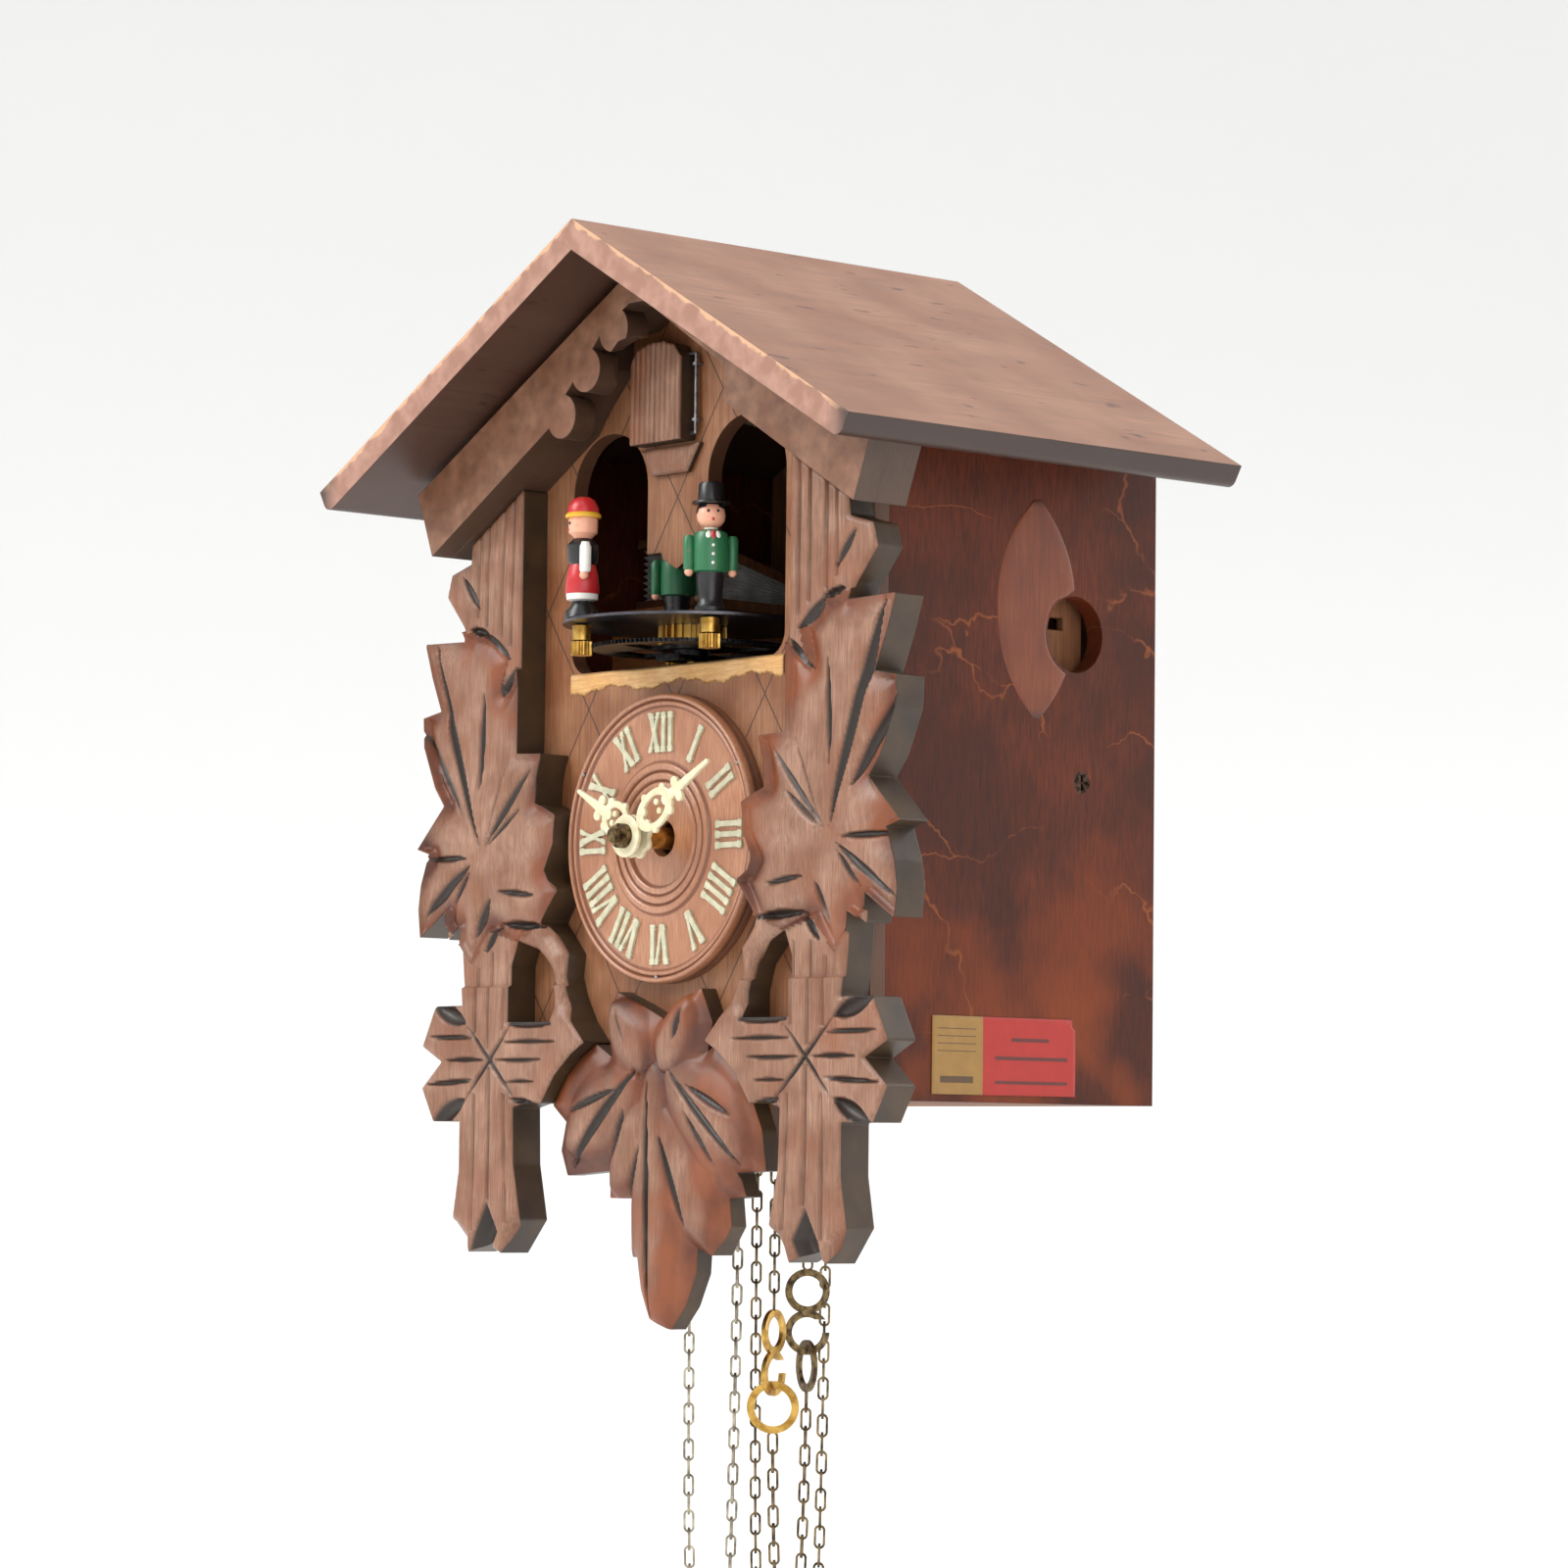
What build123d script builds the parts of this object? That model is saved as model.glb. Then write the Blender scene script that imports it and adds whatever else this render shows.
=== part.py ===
from build123d import *
import math
import os

# Cuckoo clock with a dancing stage, built round its centre arbor: x to the right,
# y from the carved front (0) back to the wall, z up. Every part is written out
# with the hanging hole in the back panel as its origin.

# Case
CASE_HALF = 82.0
WALL = 6.0
CASE_FRONT = 16.0
CASE_BACK = 116.0
CASE_BOTTOM = -72.0
BACK_THICK = 5.0
BASE_THICK = 6.0
FRONT_FACE = 11.0
HANG_Z = 95.0
HANG_HOLE_R = 4.0
HANG_THICK = 1.2
HANG_Y = CASE_BACK - HANG_THICK / 2
SCREWS = ((88.0, 16.0),)

# Roof
RIDGE_Z = 168.0
EAVE_HALF = 115.0
EAVE_Z = 103.0
ROOF_THICK = 7.5
ROOF_FRONT = -28.0
ROOF_BACK = CASE_BACK
SLOPE = math.atan2(RIDGE_Z - EAVE_Z, EAVE_HALF)
RISE = math.tan(SLOPE)
UNDER_RIDGE = RIDGE_Z - ROOF_THICK / math.cos(SLOPE)

# Gable boards
BARGE_FRONT = -7.5
BARGE_SHIFT = 3.0
NECK_HEIGHT = 12.5
LOBES = ((32, 118.5), (21.5, 130.5), (9.5, 140.5))
LOBE_R = 6.2

# Bird door
DOOR_X = -3.5
DOOR_HALF = 11.0
DOOR_BOTTOM = 110.0
DOOR_TOP = 138.0
DOOR_FRONT = 4.8
DOOR_BACK = 10.6
HINGE_X = 9.2
HINGE_Y = 9.4

# Dial and hands
DIAL_R = 40.0
DIAL_FRONT = 5.0
ARBOR_R = 2.0
PIPE_R = 3.0
RUN = 0.06
MINUTE_ANGLE = 61.0
HOUR_ANGLE = 298.0
MINUTE_Y = -6.5
HOUR_Y = -2.5
HAND_THICK = 1.2

# Movement
PLATE_FRONT = 28.0
PLATE_BACK = 66.0
PLATE_THICK = 1.5
PLATE_HALF = 45.0
PLATE_LOW = -42.0
PLATE_TOP = 45.0
SPROCKET_Z = -27.0
CHAIN_R = 10.9
CHAIN_TUBE = 1.75
CHAINS = {"music": (-24.0, 48.0), "time": (0.0, 52.5), "strike": (24.0, 38.4)}

# Stage
STAGE_Y = 17.0
STAGE_R = 36.0
STAGE_Z = 59.2
DANCER_R = 31.0
GEAR_MODULE = DANCER_R / 66
RING_TEETH = 120
PINION_TEETH = 12
FIRST_DANCER = -31.3
SPINDLE_R = 1.2
ARM_OUT = 6.0
DANCERS = ("man_front", "woman_back", "man_back", "woman_front")

# Hanging gear
VIEW_LOW = -205.0
HANK_TOP = -228.0
HANK_TALL = 74.0
HANK_WIDE = 22.0
HANK_DEEP = 31.0
HOOK_TOP = {"time": -118.0, "strike": -129.0}
HOOK_TURN = {"time": 49.0, "strike": 111.0}
HOOK_R = 6.2
HOOK_BAND = 2.0
HOOK_STEP = 11.4
RING_R = 7.2


def block(x0, x1, y0, y1, z0, z1):
    """A box between two corners."""
    centre = Pos((x0 + x1) / 2, (y0 + y1) / 2, (z0 + z1) / 2)
    return centre * Box(x1 - x0, y1 - y0, z1 - z0)


def plate(points, y0, y1):
    """A flat board: an outline in x and z, extruded from y0 back to y1."""
    face = Plane.XZ * make_face(Polyline(points, close=True))
    return Pos(0, y1, 0) * extrude(face, y1 - y0)


def mirror_x(shape):
    """The same piece on the other side of the clock."""
    return mirror(shape, Plane.YZ)


def rod_y(x, z, y0, y1, radius):
    """A round bar running front to back."""
    return Pos(x, (y0 + y1) / 2, z) * Rot(90, 0, 0) * Cylinder(radius, y1 - y0)


def rod_z(x, y, z0, z1, radius):
    """An upright round bar."""
    return Pos(x, y, (z0 + z1) / 2) * Cylinder(radius, z1 - z0)


def rod_x(y, z, x0, x1, radius):
    """A round bar running left to right."""
    return Pos((x0 + x1) / 2, y, z) * Rot(0, 90, 0) * Cylinder(radius, x1 - x0)


def gear(teeth, module, thick, turn=0.0, fill=0.36):
    """A spur gear about z with narrow straight-sided teeth that run with play."""
    pitch_r = teeth * module / 2
    step = 2 * math.pi / teeth
    points = []
    for tooth in range(teeth):
        middle = math.radians(turn) + tooth * step
        for part, radius in ((-0.62, -1.0), (-0.4, 0.7), (0.4, 0.7), (0.62, -1.0)):
            angle = middle + part * fill * step
            r = pitch_r + radius * module
            points.append((r * math.cos(angle), r * math.sin(angle)))
    return extrude(make_face(Polyline(points, close=True)), thick)


def roof_height(x):
    """Height of the roof's underside at x."""
    return UNDER_RIDGE - abs(x) * RISE


# ---------------------------------------------------------------- case

def side_panel():
    """Right side: a board with a round sound hole, its top cut to the roof's slope."""
    inner = CASE_HALF - WALL
    outline = [(inner, CASE_BOTTOM), (CASE_HALF, CASE_BOTTOM),
               (CASE_HALF, roof_height(CASE_HALF)), (inner, roof_height(inner))]
    board = plate(outline, CASE_FRONT, CASE_BACK)
    for y, z in SCREWS:
        board -= rod_x(y, z, inner - 1, CASE_HALF, 1.4)
        board -= Pos(CASE_HALF - 0.9, y, z) * Rot(0, 90, 0) * Cone(1.4, 3.0, 1.8)
    return board - rod_x(85, 56.5, inner - 1, CASE_HALF + 1, 10.5)


def base_board():
    """Bottom of the case, with a slot for every chain strand and for the pendulum leader."""
    inner = CASE_HALF - WALL
    top = CASE_BOTTOM + BASE_THICK
    board = block(-inner, inner, CASE_FRONT, CASE_BACK - BACK_THICK, CASE_BOTTOM, top)
    for x, y in CHAINS.values():
        for side in (-1, 1):
            middle = x + side * CHAIN_R
            board -= block(middle - 3.5, middle + 3.5, y - 4, y + 4, CASE_BOTTOM - 1, top + 1)
    return board - block(-10, 10, 74, 83, CASE_BOTTOM - 1, top + 1)


def back_panel():
    """Back board between the sides, with a finger hole and the hanging hole."""
    inner = CASE_HALF - WALL
    outline = [(-inner, CASE_BOTTOM), (inner, CASE_BOTTOM), (inner, roof_height(inner)),
               (0, UNDER_RIDGE), (-inner, roof_height(inner))]
    board = plate(outline, CASE_BACK - BACK_THICK, CASE_BACK)
    board -= rod_y(0, 40, CASE_BACK - BACK_THICK - 1, CASE_BACK + 1, 12)
    board -= block(-12, 12, CASE_BACK - HANG_THICK, CASE_BACK + 1, HANG_Z - 9, HANG_Z + 9)
    return board - rod_y(0, HANG_Z, CASE_BACK - BACK_THICK - 1, CASE_BACK, HANG_HOLE_R + 3)


def hanger_plate():
    """Steel plate let into the back panel; its hole takes the wall hook."""
    sheet = block(-12, 12, CASE_BACK - HANG_THICK, CASE_BACK, HANG_Z - 9, HANG_Z + 9)
    return sheet - rod_y(0, HANG_Z, CASE_BACK - 1, CASE_BACK + 3, HANG_HOLE_R)


def front_board():
    """Gable front with two round-headed doorways, the bird's hole and the dial hole."""
    back = CASE_FRONT
    low = -91.0
    outline = [(-CASE_HALF, CASE_BOTTOM), (-43, CASE_BOTTOM), (-43, low), (43, low),
               (43, CASE_BOTTOM), (CASE_HALF, CASE_BOTTOM),
               (CASE_HALF, roof_height(CASE_HALF)), (0, UNDER_RIDGE),
               (-CASE_HALF, roof_height(CASE_HALF))]
    board = plate(outline, FRONT_FACE, back)
    sill = 48.0
    hole = block(-46, 46, FRONT_FACE - 1, back + 1, sill, 80)
    hole = fillet(hole.edges().filter_by(Axis.Y).group_by(Axis.Z)[0], 7)
    for side in (-1, 1):
        hole += rod_y(side * 29.5, 99, FRONT_FACE - 1, back + 1, 16.5)
        hole += block(side * 29.5 - 16.5, side * 29.5 + 16.5, FRONT_FACE - 1, back + 1, 79, 99)
    tongue = plate([(-14, 118), (-13, 99), (-11, 88), (-6, 78), (0, 75), (6, 78), (11, 88),
                    (13, 99), (14, 118)], FRONT_FACE - 2, back + 2)
    board = board - (hole - tongue)
    board -= bird_hole(FRONT_FACE - 1, back + 1)
    return board - rod_y(0, 0, FRONT_FACE - 1, back + 1, 6)


def bird_hole(y0, y1):
    """Arched hole that the bird comes through."""
    half = 10.5
    top = 126.0
    hole = block(DOOR_X - half, DOOR_X + half, y0, y1, DOOR_BOTTOM + 1.5, top)
    return hole + rod_y(DOOR_X, top, y0, y1, half)


def roof_right():
    """Right roof board; it runs over the ridge and its eave is rounded below."""
    reach = ROOF_THICK * math.sin(SLOPE)
    drop = ROOF_THICK * math.cos(SLOPE)
    outline = [(0, RIDGE_Z), (EAVE_HALF, EAVE_Z), (EAVE_HALF - reach, EAVE_Z - drop),
               (-reach, RIDGE_Z - drop)]
    board = plate(outline, ROOF_FRONT, ROOF_BACK)
    eave = board.edges().filter_by(Axis.Y).sort_by(Axis.Z)[0]
    return fillet(eave, 3)


def roof_left():
    """Left roof board, butted under the right one's end."""
    reach = ROOF_THICK * math.sin(SLOPE)
    drop = ROOF_THICK * math.cos(SLOPE)
    outline = [(0, RIDGE_Z), (-reach, RIDGE_Z - drop), (0, UNDER_RIDGE),
               (reach - EAVE_HALF, EAVE_Z - drop), (-EAVE_HALF, EAVE_Z)]
    board = plate(outline, ROOF_FRONT, ROOF_BACK)
    eave = board.edges().filter_by(Axis.Y).sort_by(Axis.Z)[0]
    return fillet(eave, 3)


def gable_outline(side):
    """Half gable strip: a straight lower edge, then a stepped one on the left or a narrow
    neck under the roof on the right, up to the ridge."""
    stepped = [(33, 122), (14, 141), (3, 147)]
    necked = [(38, roof_height(38) - NECK_HEIGHT), (4, 147)]
    inner = stepped if side < 0 else necked
    points = [(98, roof_height(101)), (91, 84), (38, 115.5)] + inner + [(0, 147), (0, UNDER_RIDGE - 2)]
    return [(side * x + BARGE_SHIFT, z) for x, z in points]


def bargeboard(side):
    """Front gable strip kept under the roof; the left one ends in three round lobes."""
    board = plate(gable_outline(side), BARGE_FRONT, 0)
    for x, z in LOBES if side < 0 else ():
        board += rod_y(side * x + BARGE_SHIFT, z, BARGE_FRONT, 0, LOBE_R)
    return board - roof_clearance() - door_sweep()


def door_sweep():
    """Space that the bird's door sweeps in front of the board as it opens, with some room."""
    room = 0.4
    deep = HINGE_Y - DOOR_FRONT
    reach = HINGE_X - DOOR_X + DOOR_HALF
    full = math.hypot(reach, deep) + room
    clipped = math.hypot(reach - 3, deep) + room
    top = math.hypot(reach - 8, deep) + room
    space = rod_z(HINGE_X, HINGE_Y, DOOR_BOTTOM - 1, DOOR_TOP - 5 + room, full)
    space += Pos(HINGE_X, HINGE_Y, DOOR_TOP - 3.25 + room) * Cone(full, clipped, 3.5)
    space += Pos(HINGE_X, HINGE_Y, DOOR_TOP - 0.75 + room) * Cone(clipped, top, 1.5)
    return space & block(-30, HINGE_X + deep + 2 * room, -40, 12, 100, 150)


def roof_clearance():
    """Everything above the roof's underside."""
    outline = [(-130, roof_height(130)), (0, UNDER_RIDGE), (130, roof_height(130)), (130, 200),
               (-130, 200)]
    return plate(outline, -40, 120)


def gable_backing():
    """The strip behind each bargeboard, lying on the front board."""
    parts = []
    for side in (-1, 1):
        board = plate(gable_outline(side), 0, FRONT_FACE) - roof_clearance()
        parts.append(board - block(-20, 20, -1, FRONT_FACE + 1, 100, 142))
    return Compound(parts)


def gable_under(x):
    """Height of the gable strip's lower edge."""
    return 115.5 - (x - 38) * (115.5 - 84) / (91 - 38)


def case_screws():
    """Countersunk screws that hold the sides to the movement board."""
    parts = []
    for side in (-1, 1):
        for y, z in SCREWS:
            screw = rod_x(y, z, CASE_HALF - WALL, CASE_HALF, 1.4)
            head = Pos(CASE_HALF - 0.9, y, z) * Rot(0, 90, 0) * Cone(1.4, 3.0, 1.8)
            screw = screw + head
            screw -= Pos(CASE_HALF, y, z) * Box(1.2, 4.4, 0.8)
            screw -= Pos(CASE_HALF, y, z) * Box(1.2, 0.8, 4.4)
            parts.append(screw if side > 0 else mirror_x(screw))
    return Compound(parts)


# ---------------------------------------------------------------- carving

def carved_post():
    """Right carved post: reeded pillar, vine leaf, cross and cloven foot, from one board."""
    lean = 2.0
    outer = [(82 - 0.5, gable_under(81.5) - lean), (82, 82), (91, 79.5), (93, 73), (85, 64),
             (82.5, 59.5), (101.5, 60), (98, 50), (93.5, 40), (102, 38.5), (101.5, 30),
             (96, 18), (91.5, 12.5), (104, 0.5), (98.5, -1), (102, -10), (103, -17),
             (102, -25), (90.5, -18), (90, -26), (83.5, -22.5), (83, -31), (81.5, -45),
             (94, -45), (100, -56.5), (91, -61), (100, -68.5), (94.5, -78), (82, -78)]
    foot = [(82, -92), (84.5, -105.5), (77, -115), (69.5, -112), (62, -115), (53.5, -105.5),
            (57, -90), (57.5, -74)]
    arm = [(51, -72.5), (45, -73), (39, -65), (31.5, -59), (26, -56), (32, -50),
           (36, -43.5), (38.5, -37.5), (37.5, -31), (44, -24)]
    leaf = [(46, -22), (43, -18), (38.5, -13), (43, -10.5), (45, -7.5), (41, 0), (38, 7),
            (45, 10), (49.5, 11.5), (49, 19), (47, 25.5), (58, 26)]
    top = [(58, gable_under(58) - lean)]
    board = plate(outer + foot + arm + leaf + top, 0, FRONT_FACE)
    arch = [(41.5, -50), (60.5, -50), (60.5, -34), (57.5, -27), (50, -29.5), (44, -35.5),
            (41.5, -43)]
    board -= plate(arch, -1, FRONT_FACE + 1)
    return board - rod_y(0, 0, -2, FRONT_FACE + 1, DIAL_R + 1.0)


def carved_leaf():
    """Bottom vine leaf, glued between the two carved arms."""
    outline = [(-45, -73.4), (-39, -65.4), (-31.5, -59.4), (-26, -56.4), (-19, -60), (-20.5, -54),
               (-20.5, -48), (-17, -42), (-7, -45.5), (4, -50), (10, -45), (19, -41.5),
               (24, -51), (22, -59), (26, -56.4), (31.5, -59.4), (39, -65.4), (41, -72),
               (45, -80), (47, -91), (36, -91.5), (39, -98), (32, -98.5), (33, -106), (27, -114),
               (19, -112), (18.5, -119), (14, -128), (8, -134.5), (1, -131.5), (-3, -124),
               (-5, -115), (-8.5, -115), (-9, -99), (-19, -99), (-19, -91.5), (-38, -93),
               (-41, -86), (-39, -78)]
    return plate(outline, 0.5, FRONT_FACE)


# ---------------------------------------------------------------- dial and hands

def dial():
    """Turned wooden dial: beaded rim, flat chapter ring and three turned beads."""
    profile = [(5, FRONT_FACE), (DIAL_R, FRONT_FACE), (DIAL_R, DIAL_FRONT + 1),
               (DIAL_R - 1, DIAL_FRONT), (DIAL_R - 2.4, DIAL_FRONT), (DIAL_R - 3, 6.6),
               (21.5, 6.6), (20.5, 5.8), (19, 6.8), (17.8, 5.8), (16.4, 6.8), (15, 5.8),
               (13.6, 7.0), (5, 7.4)]
    face = make_face(Polyline([(r, y, 0) for r, y in profile], close=True))
    return revolve(face, Axis.Y)


def numeral(strokes):
    """One Roman numeral drawn upright at the origin from I, V and X strokes."""
    tall = 11.0
    bar = 1.7
    pitch = 3.0
    width = {"I": pitch, "V": 1.7 * pitch, "X": 1.9 * pitch}
    total = sum(width[letter] for letter in strokes)
    x = -total / 2
    parts = []
    for letter in strokes:
        middle = x + width[letter] / 2
        spread = 0 if letter == "I" else width[letter] * 0.3
        lean = math.degrees(math.atan2(2 * spread, tall))
        if letter == "I":
            parts.append(Pos(middle, 0, 0) * Rectangle(bar, tall))
        if letter == "V":
            for side in (-1, 1):
                parts.append(Pos(middle + side * spread / 2, 0) * Rot(0, 0, -side * lean / 2)
                             * Rectangle(bar, tall))
        if letter == "X":
            for side in (-1, 1):
                parts.append(Pos(middle, 0) * Rot(0, 0, side * lean) * Rectangle(bar, tall))
        x += width[letter]
    shape = parts[0]
    for extra in parts[1:]:
        shape += extra
    return shape


def dial_numerals():
    """Twelve applied numerals, feet towards the arbor."""
    names = ("I", "II", "III", "IIII", "V", "VI", "VII", "VIII", "IX", "X", "XI", "XII")
    solids = []
    for hour, name in enumerate(names, start=1):
        angle = hour * 30
        flat = Rot(0, 0, -angle) * Pos(0, 29.3) * numeral(name)
        raised = extrude(flat, 0.9)
        for solid in raised.solids():
            solids.append(Pos(0, 6.6, 0) * Rot(90, 0, 0) * solid)
    return Compound(solids)


def hand(length, angle, y, hub_r, bore):
    """A flat pointer about the arbor, turned clockwise from twelve by the angle."""
    waist = length * 0.45
    outline = [(-2.0, 0), (-3.4, waist * 0.6), (-1.2, waist * 0.85), (-4.2, waist * 1.1),
               (-1.0, waist * 1.3), (0, length), (1.0, waist * 1.3), (4.2, waist * 1.1),
               (1.2, waist * 0.85), (3.4, waist * 0.6), (2.0, 0)]
    body = plate(outline, y, y + HAND_THICK) + rod_y(0, 0, y, y + HAND_THICK, hub_r)
    body -= plate([(-1.4, hub_r + 0.6), (0, waist * 0.72), (1.4, hub_r + 0.6)], y - 1, y + 2)
    return Rot(0, angle, 0) * (body - rod_y(0, 0, y - 1, y + HAND_THICK + 1, bore))


def hour_hand():
    """Hour hand pressed on the pipe that turns on the centre arbor."""
    pointer = hand(29, HOUR_ANGLE, HOUR_Y, 5.5, PIPE_R - 0.4)
    pipe = rod_y(0, 0, HOUR_Y, PLATE_FRONT - 0.6, PIPE_R)
    pipe -= rod_y(0, 0, HOUR_Y - 1, PLATE_FRONT, ARBOR_R + RUN)
    return pointer + pipe


def minute_hand():
    """Minute hand, with its round boss on the arbor."""
    return hand(39, MINUTE_ANGLE, MINUTE_Y, 6.0, ARBOR_R)


def hand_nut():
    """Knurled hand nut in front of the minute hand."""
    nut = rod_y(0, 0, MINUTE_Y - 2.2, MINUTE_Y, 3.4)
    return nut - rod_y(0, 0, MINUTE_Y - 3, MINUTE_Y + 1, ARBOR_R)


def center_arbor():
    """Centre arbor with its wheel between the plates."""
    rod = rod_y(0, 0, MINUTE_Y - 4.5, PLATE_BACK + 3, ARBOR_R)
    wheel = Pos(0, 61.2, 0) * Rot(90, 0, 0) * gear(48, 0.55, 1.2)
    return rod + wheel


# ---------------------------------------------------------------- bird

def bird_door():
    """Thick arched door with clipped shoulders, hung at its right edge."""
    left = DOOR_X - DOOR_HALF
    right = DOOR_X + DOOR_HALF
    outline = [(left, DOOR_BOTTOM), (right, DOOR_BOTTOM), (right, DOOR_TOP - 5),
               (right - 3, DOOR_TOP - 1.5), (DOOR_X + 3, DOOR_TOP), (DOOR_X - 3, DOOR_TOP),
               (left + 3, DOOR_TOP - 1.5), (left, DOOR_TOP - 5)]
    return plate(outline, DOOR_FRONT, DOOR_BACK) - door_hinge_wire()


def door_hinge_wire():
    """Bent wire hinge: an upright pin and two tails driven into the door's edge."""
    wire = 0.5
    pin = rod_z(HINGE_X, HINGE_Y, 112, 134, wire)
    for z in (112, 134):
        pin += rod_x(HINGE_Y, z, DOOR_X + DOOR_HALF - 2, HINGE_X, wire)
        pin += Pos(HINGE_X, HINGE_Y, z) * Sphere(wire)
    return pin


def cuckoo_bird():
    """Carved bird: body, head, beak and tail."""
    z = 123.0
    body = rod_y(DOOR_X, z, 41, 49, 4.6)
    for y in (41, 49):
        body += Pos(DOOR_X, y, z) * Sphere(4.6)
    head = Pos(DOOR_X, 37, z + 3.4) * Sphere(3.8)
    beak = Pos(DOOR_X, 32.4, z + 3.4) * Rot(90, 0, 0) * Cone(1.5, 0.4, 4)
    tail = block(DOOR_X - 2.5, DOOR_X + 2.5, 50, 62, z - 1.5, z + 0.8)
    return body + head + beak + tail - bird_rod()


def bird_rod():
    """Rod that carries the bird and slides through its guide."""
    return rod_y(DOOR_X, 119.0, 42, 106, 1.0)


def bird_guide():
    """Brass strip from the back panel, bent up to guide the bird's rod."""
    strip = block(DOOR_X - 4, DOOR_X + 4, 64, 111, 113, 114.2)
    strip += block(DOOR_X - 4, DOOR_X + 4, 64, 65.2, 113, 124)
    strip += block(DOOR_X - 4, DOOR_X + 4, 109.8, 111, 106, 114.2)
    return strip - rod_y(DOOR_X, 119.0, 60, 70, 1.0 + RUN)


# ---------------------------------------------------------------- movement

def movement_frame():
    """Two brass plates held apart by four pillars, with bores for the arbors."""
    high = PLATE_TOP - PLATE_LOW
    mid = (PLATE_TOP + PLATE_LOW) / 2
    frame = None
    for y in (PLATE_FRONT, PLATE_BACK):
        sheet = Pos(0, y + PLATE_THICK / 2, mid) * Box(2 * PLATE_HALF, PLATE_THICK, high)
        frame = sheet if frame is None else frame + sheet
    for x in (-41, 41):
        for z in (PLATE_LOW + 5, PLATE_TOP - 5):
            frame += rod_y(x, z, PLATE_FRONT, PLATE_BACK + PLATE_THICK, 2.6)
            frame += rod_y(x, z, CASE_FRONT, PLATE_FRONT, 3.2)
    frame -= rod_y(0, 0, 20, 80, ARBOR_R + RUN)
    for x, _ in CHAINS.values():
        frame -= rod_y(x, SPROCKET_Z, 20, 80, 1.5 + RUN)
    return frame - rod_y(0, 38, 60, 80, 1.5 + RUN)


def chain_wheel(name):
    """Great wheel and its sprocket on one arbor."""
    x, y = CHAINS[name]
    shape = rod_y(x, SPROCKET_Z, PLATE_FRONT - 1, PLATE_BACK + 3, 1.5)
    shape += rod_y(x, SPROCKET_Z, y - 2.7, y + 2.7, 8.7)
    for side in (-1, 1):
        shape += rod_y(x, SPROCKET_Z, y + side * 2.4 - 0.3, y + side * 2.4 + 0.3, 11.4)
    wheel = Pos(x, y - 5, SPROCKET_Z) * Rot(90, 0, 0) * gear(40, 0.55, 1.2)
    return shape + wheel


def pendulum_leader():
    """Anchor arbor with its brass anchor and the wire that the pendulum hangs on."""
    y = 78.5
    arbor = rod_y(0, 38, PLATE_BACK - 4, y + 1, 1.5)
    anchor = Pos(0, PLATE_BACK - 3, 38) * Box(22, 1.6, 4)
    wire = rod_z(0, y, -86, 38, 0.8)
    hook = rod_y(0, -86, y - 4, y, 0.8) + Pos(0, y, -86) * Sphere(0.8)
    return arbor + anchor + wire + hook


def hammer_bracket():
    """Brass strip on the back plate with two lugs for the hammer's pin."""
    strip = block(-34, -26, PLATE_BACK + PLATE_THICK, 93, 42.5, 44)
    for x in (-34, -27.5):
        strip += block(x, x + 1.5, 86, 93, 42.5, 62)
    return strip - rod_x(89.5, 58, -36, -24, 1.0 + RUN)


def gong_hammer():
    """Hammer that swings back to strike the gong."""
    pin = rod_x(89.5, 58, -34.6, -25.4, 1.0)
    arm = rod_z(-30, 94.5, 32, 52, 1.0)
    arm += block(-31, -29, 89, 95.5, 50.5, 59)
    head = rod_y(-30, 32, 90.5, 98, 3.2)
    return pin + arm + head


def gong():
    """Coiled wire gong on its cast block, shown as close turns joined at the block."""
    y = 106.0
    coil = None
    for radius in (12.0, 16.0, 20.0):
        turn = Pos(-30, y, 10) * Rot(90, 0, 0) * Torus(radius, 0.9)
        coil = turn if coil is None else coil + turn
    coil += rod_y(-30, 10, y - 1, CASE_BACK - BACK_THICK, 4)
    return coil + rod_x(y, 10, -50.5, -9.5, 1.0)


def whistle(side):
    """Right whistle: a wooden pipe with its mouth to the sound hole and a bellows floor."""
    pipe = block(51, 73, 74, 96, -20, 72)
    pipe -= block(53.5, 70.5, 76.5, 93.5, -18, 66)
    pipe -= block(70, 74, 76, 89, 58.5, 62)
    floor = block(49, 75, 58, 103, 72, 75)
    shape = pipe + floor
    return shape if side > 0 else mirror_x(shape)


def bellows_cloth(side):
    """Folded cloth wedge between the bellows' boards."""
    outline = [(59, 75), (101, 75), (101, 79), (59, 90.5)]
    face = Plane.YZ * make_face(Polyline(outline, close=True))
    wedge = Pos(50, 0, 0) * extrude(face, 24)
    return wedge if side > 0 else mirror_x(wedge)


def bellows_top(side):
    """Upper board of the bellows, hinged at its rear edge."""
    outline = [(58, 90.8), (101.5, 79.2), (101.5, 81.8), (58.6, 93.3)]
    face = Plane.YZ * make_face(Polyline(outline, close=True))
    board = Pos(49, 0, 0) * extrude(face, 26)
    return board if side > 0 else mirror_x(board)


def music_movement():
    """Musical movement: bedplate, two cheeks and the steel comb."""
    low = CASE_BOTTOM + BASE_THICK
    base = block(14, 60, 84, 109, low, low + 3)
    for x in (15, 57):
        base += block(x, x + 2, 88, 104, low, low + 20)
    base -= rod_x(94, low + 12, 10, 64, 1.5 + RUN)
    comb = block(18, 56, 101.2, 108, low + 11.4, low + 12.6)
    comb += block(18, 56, 104, 108, low, low + 11.4)
    return base + comb


def music_cylinder():
    """Pinned cylinder of the musical movement."""
    low = CASE_BOTTOM + BASE_THICK
    shell = rod_x(94, low + 12, 18, 56, 6.6) - rod_x(94, low + 12, 19, 55, 5.6)
    return rod_x(94, low + 12, 14, 60, 1.5) + shell


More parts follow.
